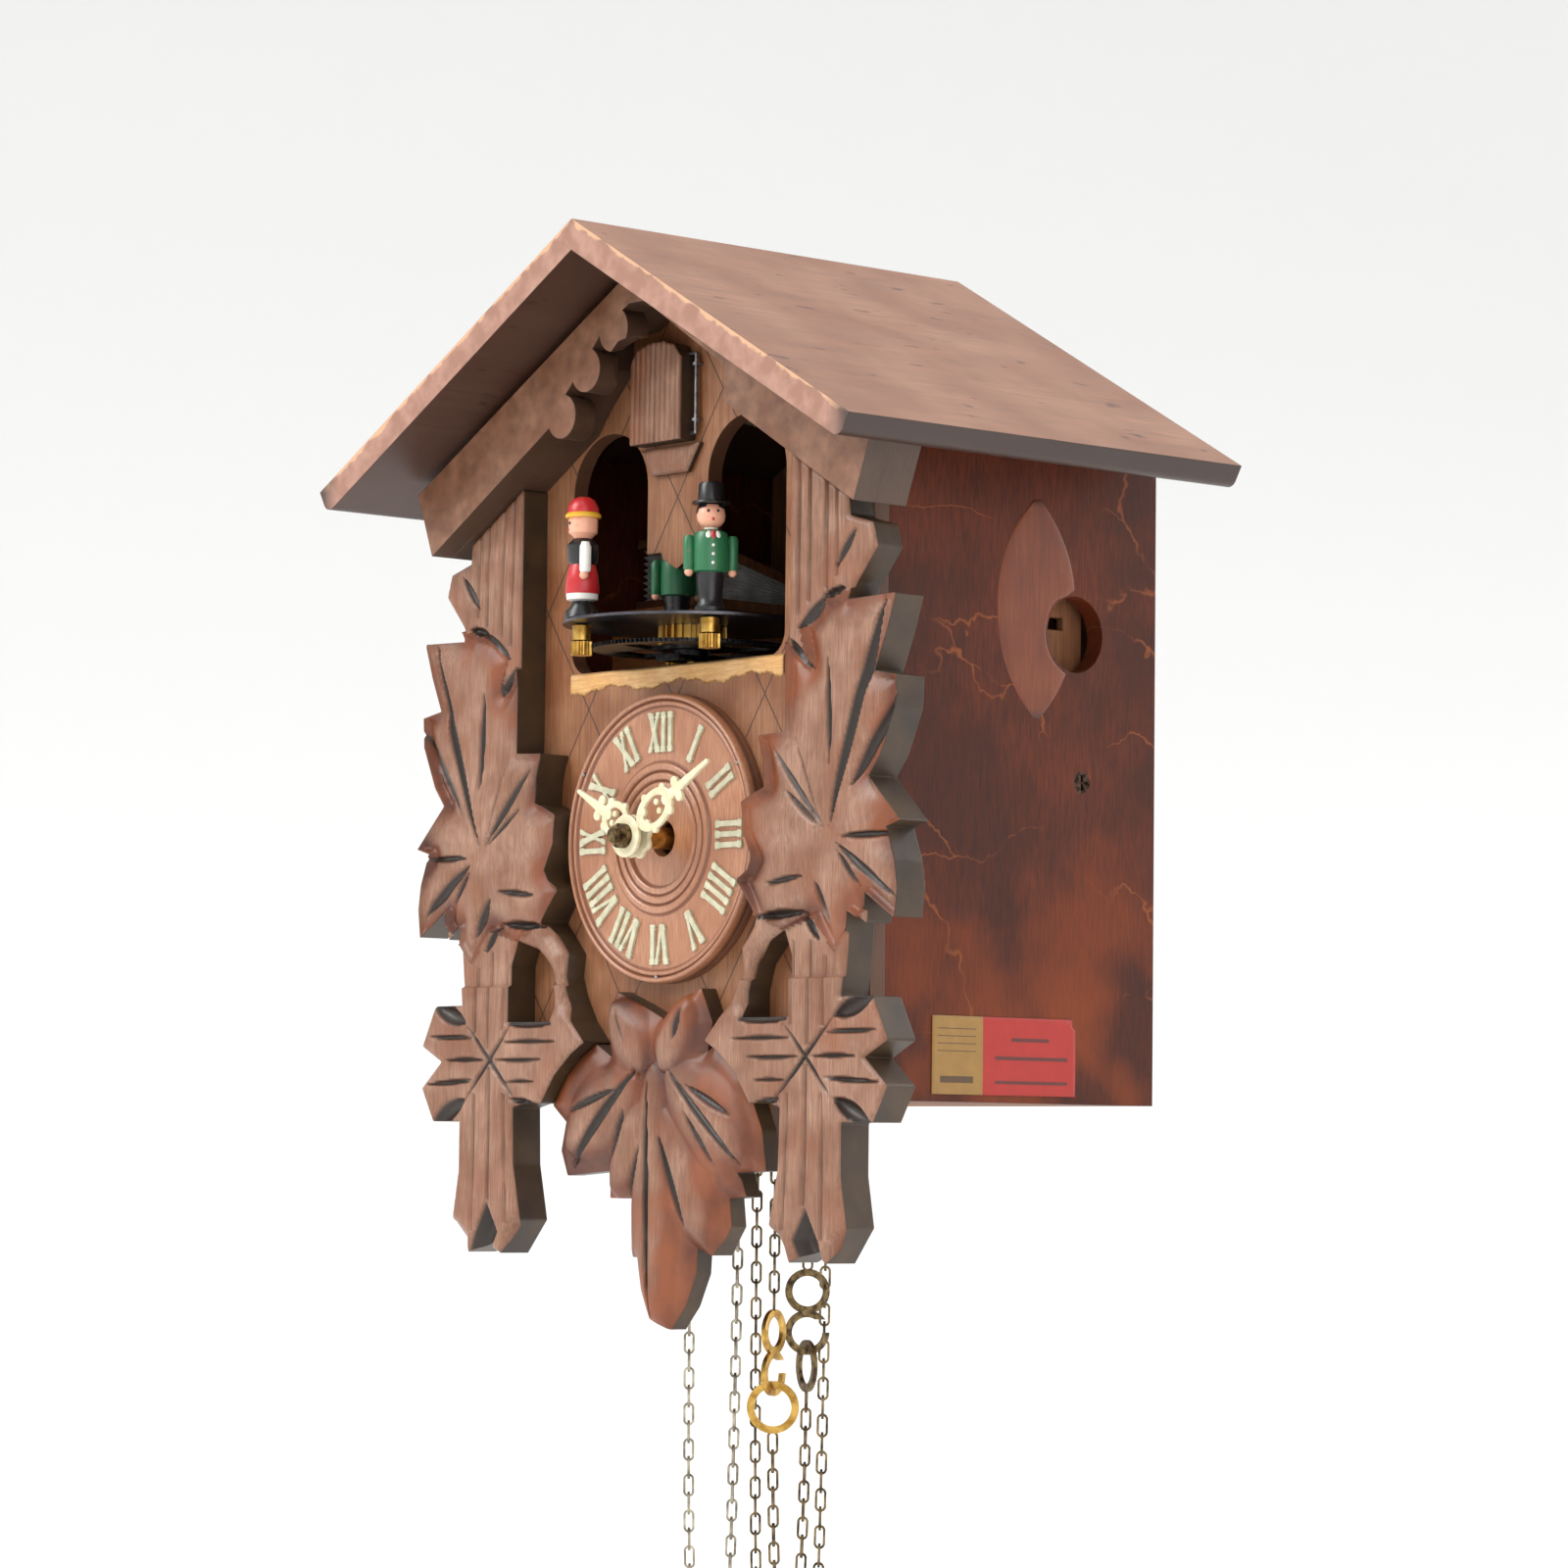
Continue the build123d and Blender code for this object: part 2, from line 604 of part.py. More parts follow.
def music_sound_box():
    """Thin wooden box that carries the tune to the case side."""
    return block(-76, -48, 50, 72, 20, 71.5)


# ---------------------------------------------------------------- stage

def stage_bracket():
    """Black steel bar from the movement's front plate, under the fixed wheel."""
    bar = block(-5, 5, 8, PLATE_FRONT, 49.4, 50.8)
    bar += block(-5, 5, PLATE_FRONT - 1.4, PLATE_FRONT, 30, 50.8)
    return bar - rod_z(0, STAGE_Y, 45, 55, 1.5 + RUN)


def ring_gear():
    """Fixed fine-toothed wheel that the dancers' pinions run round."""
    wheel = Pos(0, STAGE_Y, 52.5) * gear(RING_TEETH, GEAR_MODULE, 1.0, FIRST_DANCER)
    hub = rod_z(0, STAGE_Y, 50.8, 53.5, 5)
    for quarter in range(4):
        turn = Rot(0, 0, FIRST_DANCER + 45 + quarter * 90)
        wheel -= Pos(0, STAGE_Y, 52) * turn * Pos(16, 0, 1) * Box(13, 15, 4)
    return wheel + hub - rod_z(0, STAGE_Y, 45, 60, 1.5 + RUN)


def turntable():
    """Steel disc on its brass pin drum and spindle."""
    disc = rod_z(0, STAGE_Y, STAGE_Z, STAGE_Z + 0.8, STAGE_R)
    drum = Pos(0, STAGE_Y, 54) * gear(24, 0.75, STAGE_Z - 54)
    spindle = rod_z(0, STAGE_Y, 48.6, STAGE_Z, 1.5)
    body = disc + drum + spindle
    for quarter in range(4):
        turn = Rot(0, 0, FIRST_DANCER + quarter * 90)
        hole = Pos(DANCER_R, 0, STAGE_Z) * Cylinder(SPINDLE_R + RUN, 4)
        body -= Pos(0, STAGE_Y, 0) * turn * hole
    return body


def dancer_place(number):
    """Centre of one dancer's spindle."""
    angle = math.radians(FIRST_DANCER + number * 90)
    return DANCER_R * math.cos(angle), STAGE_Y + DANCER_R * math.sin(angle)


def dancer(number, woman):
    """A turned wooden figure with its brass collar and pinion below the disc."""
    x, y = dancer_place(number)
    top = STAGE_Z + 0.8
    shape = rod_z(x, y, 50.4, top + 2, SPINDLE_R)
    shape += rod_z(x, y, 54.6, STAGE_Z - 0.3, 2.6)
    turn = FIRST_DANCER + 180 / PINION_TEETH + number * 90
    shape += Pos(x, y, 50.4) * gear(PINION_TEETH, GEAR_MODULE, 4.0, turn)
    if woman:
        rings = [(4.6, 0.3), (4.8, 2.5), (2.6, 6), (4.8, 9), (3.6, 18), (2.6, 22), (4.3, 26),
                 (4.8, 30), (3.5, 33.5), (0.01, 34.5)]
    else:
        rings = [(4.2, 0.3), (4.2, 2), (3.4, 4), (4.0, 10), (4.8, 12), (5.0, 21), (2.6, 23),
                 (4.1, 26), (4.1, 29.5), (5.2, 30), (5.2, 30.8), (3.6, 31), (3.2, 35.5)]
    profile = [(0, rings[0][1])] + rings + [(0, rings[-1][1])]
    if woman:
        profile = [(0, rings[0][1])] + rings[:-1] + [(0, 34.5)]
    outline = Plane.XZ * make_face(Polyline(profile, close=True))
    body = revolve(outline, Axis.Z)
    for side in (-1, 1):
        body += Pos(side * ARM_OUT, 0, 15.5) * Cylinder(1.5, 12)
    facing = Rot(0, 0, number * 90 + FIRST_DANCER + 90)
    return shape + Pos(x, y, top) * facing * body


# ---------------------------------------------------------------- chains

def tube(points, radius):
    """Round tube along straight runs joined by wide arcs; prints the arcs' radii."""
    path = Polyline(points) if len(points) == 2 else None
    if path is None:
        corners = [Vector(*p) for p in points]
        radii = []
        for a, b, c in zip(corners, corners[1:], corners[2:]):
            turn = math.radians((b - a).get_angle(c - b))
            shorter = min((b - a).length, (c - b).length)
            radii.append(0.45 * shorter / math.tan(turn / 2))
        print("tube radii", [round(r, 1) for r in radii])
        path = FilletPolyline(*points, radius=radii)
    start = Plane(origin=path @ 0, z_dir=path % 0)
    return sweep(start * Circle(radius), path=path)


def strand(name, side, drift, low):
    """Points of one strand, from its sprocket straight down and then in to the hank."""
    x, y = CHAINS[name]
    start = x + side * CHAIN_R
    return [(start, y, SPROCKET_Z), (start + drift, y, VIEW_LOW), (x + side * 5, y, low)]


def over_sprocket(name):
    """The half turn of chain that lies over the sprocket."""
    x, y = CHAINS[name]
    ring = Pos(x, y, SPROCKET_Z) * Rot(90, 0, 0) * Torus(CHAIN_R, CHAIN_TUBE)
    keep = block(x - 20, x + 20, y - 5, y + 5, SPROCKET_Z, SPROCKET_Z + 20)
    return ring & keep


def hank(name):
    """Outer shape of the chain that is gathered up below: a flat oval skein."""
    x, y = CHAINS[name]
    middle = HANK_TOP - HANK_TALL / 2
    skein = Plane.XZ * SlotOverall(HANK_TALL, HANK_WIDE, rotation=90)
    return Pos(x, y + HANK_DEEP / 2, middle) * extrude(skein, HANK_DEEP)


def hook(x, y, top, turn):
    """Flat S-hook: a closed eye above and an open hook below, turned about its own axis."""
    low = -HOOK_R - HOOK_STEP
    shape = rod_y(0, -HOOK_R, -0.6, 0.6, HOOK_R) - rod_y(0, -HOOK_R, -2, 2, HOOK_R - HOOK_BAND)
    loop = rod_y(0, low, -0.6, 0.6, HOOK_R)
    loop -= rod_y(0, low, -2, 2, HOOK_R - HOOK_BAND)
    shape += loop - block(0.6, 9, -3, 3, low, low + 3.6)
    return Pos(x, y, top) * Rot(0, 0, turn) * shape


def ring(x, y, top, turn):
    """Flat ring that the hook catches."""
    shape = rod_y(0, -RING_R, -0.6, 0.6, RING_R) - rod_y(0, -RING_R, -2, 2, RING_R - HOOK_BAND)
    return Pos(x, y, top) * Rot(0, 0, turn) * shape


# ---------------------------------------------------------------- writing

PARTS = {
    "side_panel_right": side_panel(),
    "side_panel_left": mirror_x(side_panel()),
    "base_board": base_board(),
    "back_panel": back_panel(),
    "hanger_plate": hanger_plate(),
    "front_board": front_board(),
    "roof_board_right": roof_right(),
    "roof_board_left": roof_left(),
    "bargeboard_right": bargeboard(1),
    "bargeboard_left": bargeboard(-1),
    "gable_backing": gable_backing(),
    "case_screws": case_screws(),
    "carved_post_right": carved_post(),
    "carved_post_left": mirror_x(carved_post()),
    "carved_leaf": carved_leaf(),
    "dial": dial(),
    "dial_numerals": dial_numerals(),
    "hour_hand": hour_hand(),
    "minute_hand": minute_hand(),
    "center_arbor": Compound([center_arbor(), hand_nut()]),
    "bird_door": bird_door(),
    "door_hinge_wire": door_hinge_wire(),
    "cuckoo_bird": cuckoo_bird(),
    "bird_rod": bird_rod(),
    "bird_guide": bird_guide(),
    "movement_frame": Compound([movement_frame(), hammer_bracket()]),
    "pendulum_leader": pendulum_leader(),
    "gong_hammer": gong_hammer(),
    "gong": gong(),
    "whistle_right": whistle(1),
    "whistle_left": whistle(-1),
    "bellows_cloth_right": bellows_cloth(1),
    "bellows_cloth_left": bellows_cloth(-1),
    "bellows_top_right": bellows_top(1),
    "bellows_top_left": bellows_top(-1),
    "music_movement": music_movement(),
    "music_cylinder": music_cylinder(),
    "music_sound_box": music_sound_box(),
    "stage_bracket": stage_bracket(),
    "ring_gear": ring_gear(),
    "turntable": turntable(),
}
for name in CHAINS:
    PARTS["chain_wheel_" + name] = chain_wheel(name)
for number, name in enumerate(DANCERS):
    PARTS["dancer_" + name] = dancer(number, name.startswith("woman"))

PARTS["chain_music"] = Compound([tube(strand("music", -1, 0.4, HANK_TOP), CHAIN_TUBE),
                                 tube(strand("music", 1, -1.2, HANK_TOP), CHAIN_TUBE),
                                 over_sprocket("music")])
PARTS["chain_music_hank"] = hank("music")
for name, hooked in (("time", 1), ("strike", -1)):
    x, y = CHAINS[name]
    side = x + hooked * CHAIN_R
    top = HOOK_TOP[name]
    ring_top = top - 2 * HOOK_R - HOOK_STEP + 2 * HOOK_BAND + 0.15
    ring_low = ring_top - 2 * RING_R
    tail = [(side, y, ring_low - 0.2), (side - 0.8 * hooked, y, VIEW_LOW),
            (x + hooked * 5, y, HANK_TOP)]
    PARTS["chain_" + name] = Compound([tube(strand(name, -hooked, -0.8, HANK_TOP), CHAIN_TUBE),
                                       tube(tail, CHAIN_TUBE), over_sprocket(name)])
    PARTS["chain_" + name + "_hank"] = hank(name)
    PARTS["chain_" + name + "_short"] = tube([(side, y, SPROCKET_Z), (side, y, top + 0.2)],
                                             CHAIN_TUBE)
    PARTS["hook_" + name] = hook(side, y, top, HOOK_TURN[name])
    PARTS["ring_" + name] = ring(side, y, ring_top, HOOK_TURN[name] - 70)

origin = Pos(0, -HANG_Y, -HANG_Z)
os.makedirs("parts", exist_ok=True)
for name, shape in PARTS.items():
    export_step(origin * shape, "parts/" + name + ".step")
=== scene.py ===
import math
import bpy
import numpy as np
from mathutils import Matrix, Vector


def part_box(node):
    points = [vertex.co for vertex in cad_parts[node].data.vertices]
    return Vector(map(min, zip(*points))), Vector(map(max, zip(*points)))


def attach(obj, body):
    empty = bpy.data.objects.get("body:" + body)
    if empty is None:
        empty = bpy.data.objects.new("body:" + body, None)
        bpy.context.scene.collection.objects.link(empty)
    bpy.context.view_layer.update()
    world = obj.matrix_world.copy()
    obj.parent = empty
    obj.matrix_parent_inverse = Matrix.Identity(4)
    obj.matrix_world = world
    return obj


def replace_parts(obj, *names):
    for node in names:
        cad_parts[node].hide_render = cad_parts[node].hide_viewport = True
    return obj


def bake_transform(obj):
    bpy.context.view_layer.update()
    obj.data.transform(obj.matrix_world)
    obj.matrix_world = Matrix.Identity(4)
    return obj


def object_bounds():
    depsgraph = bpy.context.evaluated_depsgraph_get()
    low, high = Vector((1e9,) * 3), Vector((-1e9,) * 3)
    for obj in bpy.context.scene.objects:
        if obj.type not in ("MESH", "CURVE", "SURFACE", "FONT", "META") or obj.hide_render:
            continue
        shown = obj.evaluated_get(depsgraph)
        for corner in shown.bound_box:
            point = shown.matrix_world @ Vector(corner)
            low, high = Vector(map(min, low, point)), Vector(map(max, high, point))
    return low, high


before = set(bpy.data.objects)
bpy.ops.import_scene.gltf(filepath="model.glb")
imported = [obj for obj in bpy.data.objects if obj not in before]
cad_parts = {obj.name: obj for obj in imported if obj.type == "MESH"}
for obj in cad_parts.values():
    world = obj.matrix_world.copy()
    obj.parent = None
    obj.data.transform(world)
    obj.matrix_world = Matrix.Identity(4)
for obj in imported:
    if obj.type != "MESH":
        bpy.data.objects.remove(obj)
cad_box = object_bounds()

# Studio. The clock hangs in the air over a pale dish-shaped floor that rises all
# round it, under large soft lamps, and is seen from the front right, a little below.
MM = 0.001
post_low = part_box("carved_post_right")[0]
dial_low, dial_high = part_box("dial")
ARBOR = np.array([(dial_low.x + dial_high.x) / 2, post_low.y, (dial_low.z + dial_high.z) / 2])


def place(points):
    """Millimetres from the dial's centre, on the carving's front plane, to metres in the frame."""
    return np.asarray(points, float) * MM + ARBOR


def linear(code):
    """An sRGB hex colour as linear red, green, blue and full alpha."""
    part = np.array([int(code[i:i + 2], 16) for i in (1, 3, 5)]) / 255
    low = part / 12.92
    high = ((part + 0.055) / 1.055) ** 2.4
    return (*np.where(part <= 0.04045, low, high).tolist(), 1.0)


def add(tree, kind, ins={}, out=0, **settings):
    """Adds a shader node and returns one of its outputs, or the node when out is None. ins maps
    its sockets to values, to hex colours, or to the outputs that feed them."""
    new = tree.nodes.new("ShaderNode" + kind)
    for key, value in settings.items():
        setattr(new, key, value)
    for key, value in ins.items():
        if isinstance(value, bpy.types.NodeSocket):
            tree.links.new(value, new.inputs[key])
        else:
            new.inputs[key].default_value = linear(value) if isinstance(value, str) else value
    return new if out is None else new.outputs[out]


def lay_tone(tree, colour, tone, where, strength):
    """A colour with a second tone over it, whose share is the mask, where, times strength."""
    share = add(tree, "Math", {0: where, 1: strength}, operation="MULTIPLY")
    return add(tree, "Mix", {0: share, 6: colour, 7: tone}, out=2, data_type="RGBA")


def material(name, roughness, metallic=0.0, **sockets):
    """A new material; returns it with its node tree and its shader."""
    made = bpy.data.materials.new(name)
    made.use_nodes = True
    shader = made.node_tree.nodes["Principled BSDF"]
    shader.inputs["Roughness"].default_value = roughness
    shader.inputs["Metallic"].default_value = metallic
    for key, value in sockets.items():
        shader.inputs[key.replace("_", " ")].default_value = value
    return made, made.node_tree, shader


def grid_object(name, points, faces, smooth=True, sharp=32.0):
    """A mesh object from an array of points and a list or array of faces."""
    mesh = bpy.data.meshes.new(name)
    mesh.from_pydata(np.asarray(points, float).tolist(), [], [list(f) for f in faces])
    mesh.update()
    mesh.polygons.foreach_set("use_smooth", np.full(len(mesh.polygons), smooth))
    if smooth:
        mesh.set_sharp_from_angle(angle=math.radians(sharp))
    made = bpy.data.objects.new(name, mesh)
    bpy.context.scene.collection.objects.link(made)
    return made


def quads(rows, columns, wrap_rows=False, wrap_columns=False):
    """Four-cornered faces over a grid of points, wrapped round either way if asked."""
    i, j = np.meshgrid(np.arange(rows - (not wrap_rows)),
                       np.arange(columns - (not wrap_columns)), indexing="ij")
    i, j = i.ravel(), j.ravel()
    k, m = (i + 1) % rows, (j + 1) % columns
    return np.stack([i * columns + j, i * columns + m, k * columns + m, k * columns + j], 1)


FLOOR_DROP = 0.02
FLAT_FLOOR = 1.2
DISH_RISE = 5.0
floor_z = cad_box[0][2] - FLOOR_DROP
steps = np.linspace(0, 1, 40)
run = np.where(steps < 0.5, steps * 2 * FLAT_FLOOR,
               FLAT_FLOOR + DISH_RISE * np.sin(math.pi * (steps - 0.5)))
lift = np.where(steps < 0.5, 0, DISH_RISE * (1 - np.cos(math.pi * (steps - 0.5))))
turn = np.linspace(0, 2 * math.pi, 96, endpoint=False)
dish = np.stack([np.outer(run, np.cos(turn)), np.outer(run, np.sin(turn)),
                 np.outer(lift, np.ones_like(turn)) + floor_z], 2).reshape(-1, 3)
floor = grid_object("studio_floor", dish, quads(40, 96, wrap_columns=True)[:, ::-1])
paper, tree, shader = material("backdrop_paper", 0.95)
shader.inputs["Base Color"].default_value = linear("#F4F4F3")
floor.data.materials.append(paper)

CAMERA_AT = (1.0926, -1.0111, -0.1831)
CAMERA_TURN = 49.087
CAMERA_PITCH = 4.177
CAMERA_ROLL = 0.655
LENS = 118.37
camera_data = bpy.data.cameras.new("camera")
camera_data.lens = LENS
camera_data.sensor_width = 36
camera = bpy.data.objects.new("camera", camera_data)
camera.location = CAMERA_AT
aim, tilt, roll = (math.radians(v) for v in (CAMERA_TURN, CAMERA_PITCH, CAMERA_ROLL))
ahead = Vector((-math.sin(aim) * math.cos(tilt), math.cos(aim) * math.cos(tilt), math.sin(tilt)))
side = Vector((math.cos(aim), math.sin(aim), 0))
above = side.cross(ahead)
across = side * math.cos(roll) + above * math.sin(roll)
upward = above * math.cos(roll) - side * math.sin(roll)
camera.rotation_euler = Matrix((across, upward, -ahead)).transposed().to_euler()
bpy.context.scene.collection.objects.link(camera)
bpy.context.scene.camera = camera

LAMPS = (("key_lamp", (-0.9, -1.9, 1.5), 1.3, 44), ("fill_lamp", (2.3, -1.2, 0.6), 1.8, 16),
         ("top_lamp", (0.4, 0.2, 2.4), 2.2, 30), ("back_lamp", (0.6, 2.6, 1.2), 2.4, 30))
CLOCK_MIDDLE = (0, -0.05, -0.1)
for name, spot, size, power in LAMPS:
    lamp_data = bpy.data.lights.new(name, "AREA")
    lamp_data.size = size
    lamp_data.energy = power
    lamp = bpy.data.objects.new(name, lamp_data)
    lamp.location = spot
    lamp.rotation_euler = (Vector(CLOCK_MIDDLE) - Vector(spot)).to_track_quat("-Z", "Y").to_euler()
    bpy.context.scene.collection.objects.link(lamp)
world = bpy.data.worlds.new("studio_air")
world.use_nodes = True
world.node_tree.nodes["Background"].inputs["Color"].default_value = (1, 1, 1, 1)
world.node_tree.nodes["Background"].inputs["Strength"].default_value = 0.84
bpy.context.scene.world = world
bpy.context.scene.view_settings.view_transform = "Standard"

# Chains. Three endless-looking chains of soldered wire links run over the sprockets
# and out through the floor. The music chain is a loop; the other two end in a hook
# and a ring. What hangs below is gathered in flat skeins.
LINK_PITCH = 5.0
LINK_WIDE = 3.5
WIRE = 0.95
SPROCKET_R = 10.9
WHEEL_Z = -27.0
SKEIN_TOP = -228.0
SKEIN_TALL = 74.0
SKEIN_DEEP = 27.5
SKEIN_TURNS = 4
STRAND_LOW = -205.0
STRAND_Y = {"music": 48.0, "time": 52.5, "strike": 38.4}
STRAND_DRIFT = {"music": (0.4, -1.2), "time": (-0.8, -0.8), "strike": (-0.8, 0.8)}
TWIST = math.radians(43)
arc = np.radians([22.5, 67.5, 112.5, 157.5])


def over_wheel(x, y, side):
    """Points round a sprocket's top from one side to the other: an eighth-turn polygon round it."""
    r = SPROCKET_R / math.cos(math.radians(22.5))
    return [(x + side * r * math.cos(a), y, WHEEL_Z + r * math.sin(a)) for a in arc]


def skein(x, y):
    """Points of racetrack turns, four going back and four smaller ones coming forward."""
    top = SKEIN_TOP - 11
    low = SKEIN_TOP - SKEIN_TALL + 11
    points = [(x - 9.25, y + 1.5, top + 2)]
    for layer, radius in enumerate((9.25, 5.2)):
        r = radius / math.cos(math.radians(22.5))
        for lap in range(SKEIN_TURNS):
            lower = [(-r * math.cos(a), low - r * math.sin(a)) for a in arc]
            upper = [(r * math.cos(a), top + r * math.sin(a)) for a in arc]
            shape = [(-radius, top - 17), (-radius, low + 17)] + lower
            shape += [(radius, low + 17), (radius, top - 17)] + upper
            for step, (dx, z) in enumerate(shape):
                share = (lap + step / len(shape)) / SKEIN_TURNS
                share = 1 - share if layer else share
                points.append((x + dx, y + 1.75 + share * SKEIN_DEEP, z))
    return points[:-4] + [(x + 5.2, y + 1.5, top + 2)]


def spline_points(route):
    """Points along the smooth NURBS line whose control points are the route's."""
    curve = bpy.data.curves.new("route", "CURVE")
    curve.dimensions = "3D"
    spline = curve.splines.new("NURBS")
    spline.points.add(len(route) - 1)
    spline.points.foreach_set("co", np.c_[place(route), np.ones(len(route))].ravel())
    spline.order_u = 3
    spline.use_endpoint_u = True
    spline.resolution_u = 10
    holder = bpy.data.objects.new("route", curve)
    bpy.context.scene.collection.objects.link(holder)
    mesh = bpy.data.meshes.new_from_object(holder)
    line = np.array([v.co for v in mesh.vertices])
    bpy.data.objects.remove(holder)
    return line


def chain(name, route, finish):
    """Wire links along a line: each is a racetrack of round wire, a quarter turn from the last."""
    line = spline_points(route)
    reach = np.r_[0, np.cumsum(np.linalg.norm(np.diff(line, axis=0), axis=1))]
    count = int(reach[-1] / (LINK_PITCH * MM))
    at = (np.arange(count) + 0.5) * reach[-1] / count
    centre = np.stack([np.interp(at, reach, line[:, i]) for i in range(3)], 1)
    ahead = np.stack([np.interp(at + MM, reach, line[:, i]) - np.interp(at - MM, reach, line[:, i])
                      for i in range(3)], 1)
    ahead /= np.linalg.norm(ahead, axis=1)[:, None]
    across = np.array([0, 1, 0]) - ahead * ahead[:, 1:2]
    across /= np.linalg.norm(across, axis=1)[:, None]
    third = np.cross(ahead, across)
    drop = np.clip((ARBOR[2] - 0.072 - centre[:, 2]) / 0.03, 0, 1)
    angle = drop * TWIST + (np.arange(count) % 2) * math.pi / 2
    wide = across * np.cos(angle)[:, None] + third * np.sin(angle)[:, None]
    thin = np.cross(ahead, wide)
    around = np.linspace(0, 2 * math.pi, 12, endpoint=False) + math.pi / 12
    round_r = (LINK_WIDE - WIRE) / 2
    straight = (LINK_PITCH + WIRE - 2 * round_r) / 2
    along = round_r * np.cos(around) + straight * np.sign(np.cos(around))
    out = round_r * np.sin(around)
    ring = np.linspace(0, 2 * math.pi, 4, endpoint=False) + math.pi / 4
    swell = WIRE / 2 * np.cos(ring)
    u = along[:, None] + np.outer(np.cos(around), swell)
    v = out[:, None] + np.outer(np.sin(around), swell)
    w = np.tile(WIRE / 2 * np.sin(ring), (12, 1))
    local = np.stack([u, v, w], 2).reshape(-1, 3) * MM
    axes = np.stack([ahead, wide, thin], 1)
    points = (local @ axes + centre[:, None]).reshape(-1, 3)
    faces = quads(12, 4, True, True)
    faces = (faces[None] + (np.arange(count) * 48)[:, None, None]).reshape(-1, 4)
    made = grid_object(name, points, faces[:, ::-1], sharp=80)
    made.data.materials.append(finish)
    return made, line, float(reach[-1])


def worn_metal(name, dark, light, roughness, patch=3.0):
    """Metal with patches of a second tone and fine scratches in its roughness."""
    made, tree, shader = material(name, roughness, 1.0)
    here = add(tree, "TexCoord", out="Object")
    tone = add(tree, "TexNoise", {"Vector": here, "Scale": 1 / (patch * MM), "Detail": 3.0})
    share = add(tree, "MapRange", {0: tone, 1: 0.35, 2: 0.65})
    tree.links.new(add(tree, "Mix", {0: share, 6: dark, 7: light}, data_type="RGBA", out=2),
                   shader.inputs["Base Color"])
    fine = add(tree, "TexNoise", {"Vector": here, "Scale": 1 / (0.4 * MM), "Detail": 2.0})
    ins = {0: fine, 1: 0.0, 2: 1.0, 3: roughness - 0.08, 4: roughness + 0.14}
    tree.links.new(add(tree, "MapRange", ins), shader.inputs["Roughness"])
    bump = add(tree, "Bump", {"Height": fine, "Strength": 0.08, "Distance": 0.1 * MM})
    tree.links.new(bump, shader.inputs["Normal"])
    return made


# Bronzed brass wire, dulled by handling: brown with dull yellow where it rubs.
bronzed_brass = worn_metal("bronzed_brass_wire", "#3A3228", "#8A7656", 0.42)
nickel_wire = worn_metal("nickelled_wire", "#6E665A", "#B5AC98", 0.36)
polished_brass = worn_metal("rolled_brass", "#9A7434", "#D0A85A", 0.3)
for name in ("music", "time", "strike"):
    wheel_low, wheel_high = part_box("chain_wheel_" + name)
    x = ((wheel_low.x + wheel_high.x) / 2 - ARBOR[0]) / MM
    y = STRAND_Y[name]
    sign = 1 if name == "time" else -1
    drift = STRAND_DRIFT[name]
    left = [(x - SPROCKET_R, y, WHEEL_Z - 8), (x - SPROCKET_R + drift[0], y, STRAND_LOW),
            (x - 5, y, SKEIN_TOP)]
    right = [(x + 5, y, SKEIN_TOP), (x + SPROCKET_R + drift[1], y, STRAND_LOW)]
    if name == "music":
        route = [(x + SPROCKET_R, y, WHEEL_Z - 6)] + over_wheel(x, y, 1) + left + skein(x, y) + right
        route += [(x + SPROCKET_R, y, WHEEL_Z - 6)]
        links, line, length = chain("chain_links_music", route, nickel_wire)
        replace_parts(links, "chain_music", "chain_music_hank")
    else:
        ring_z = (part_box("ring_" + name)[0].z - ARBOR[2]) / MM
        hook_z = (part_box("hook_" + name)[1].z - ARBOR[2]) / MM
        if sign > 0:
            route = [(x - SPROCKET_R, y, WHEEL_Z)] + left[1:] + skein(x, y) + right[:1]
            route += [(x + SPROCKET_R - 0.8, y, STRAND_LOW), (x + SPROCKET_R, y, ring_z)]
        else:
            flip = [(2 * x - px, py, pz) for px, py, pz in skein(x, y)]
            route = [(x + SPROCKET_R, y, WHEEL_Z), (x + SPROCKET_R - 0.8, y, STRAND_LOW),
                     (x + 5, y, SKEIN_TOP)] + flip
            route += [(x - 5, y, SKEIN_TOP), (x - SPROCKET_R + 0.8, y, STRAND_LOW),
                      (x - SPROCKET_R, y, ring_z)]
        links, line, length = chain("chain_links_" + name, route, bronzed_brass)
        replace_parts(links, "chain_" + name, "chain_" + name + "_hank")
        short = [(x - sign * SPROCKET_R, y, WHEEL_Z - 4)] + over_wheel(x, y, -sign)
        short += [(x + sign * SPROCKET_R, y, WHEEL_Z - 12), (x + sign * SPROCKET_R, y, hook_z)]
        tail, line, tail_length = chain("chain_end_" + name, short, bronzed_brass)
        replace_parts(tail, "chain_" + name + "_short")
        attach(tail, "case")
    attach(links, "case")

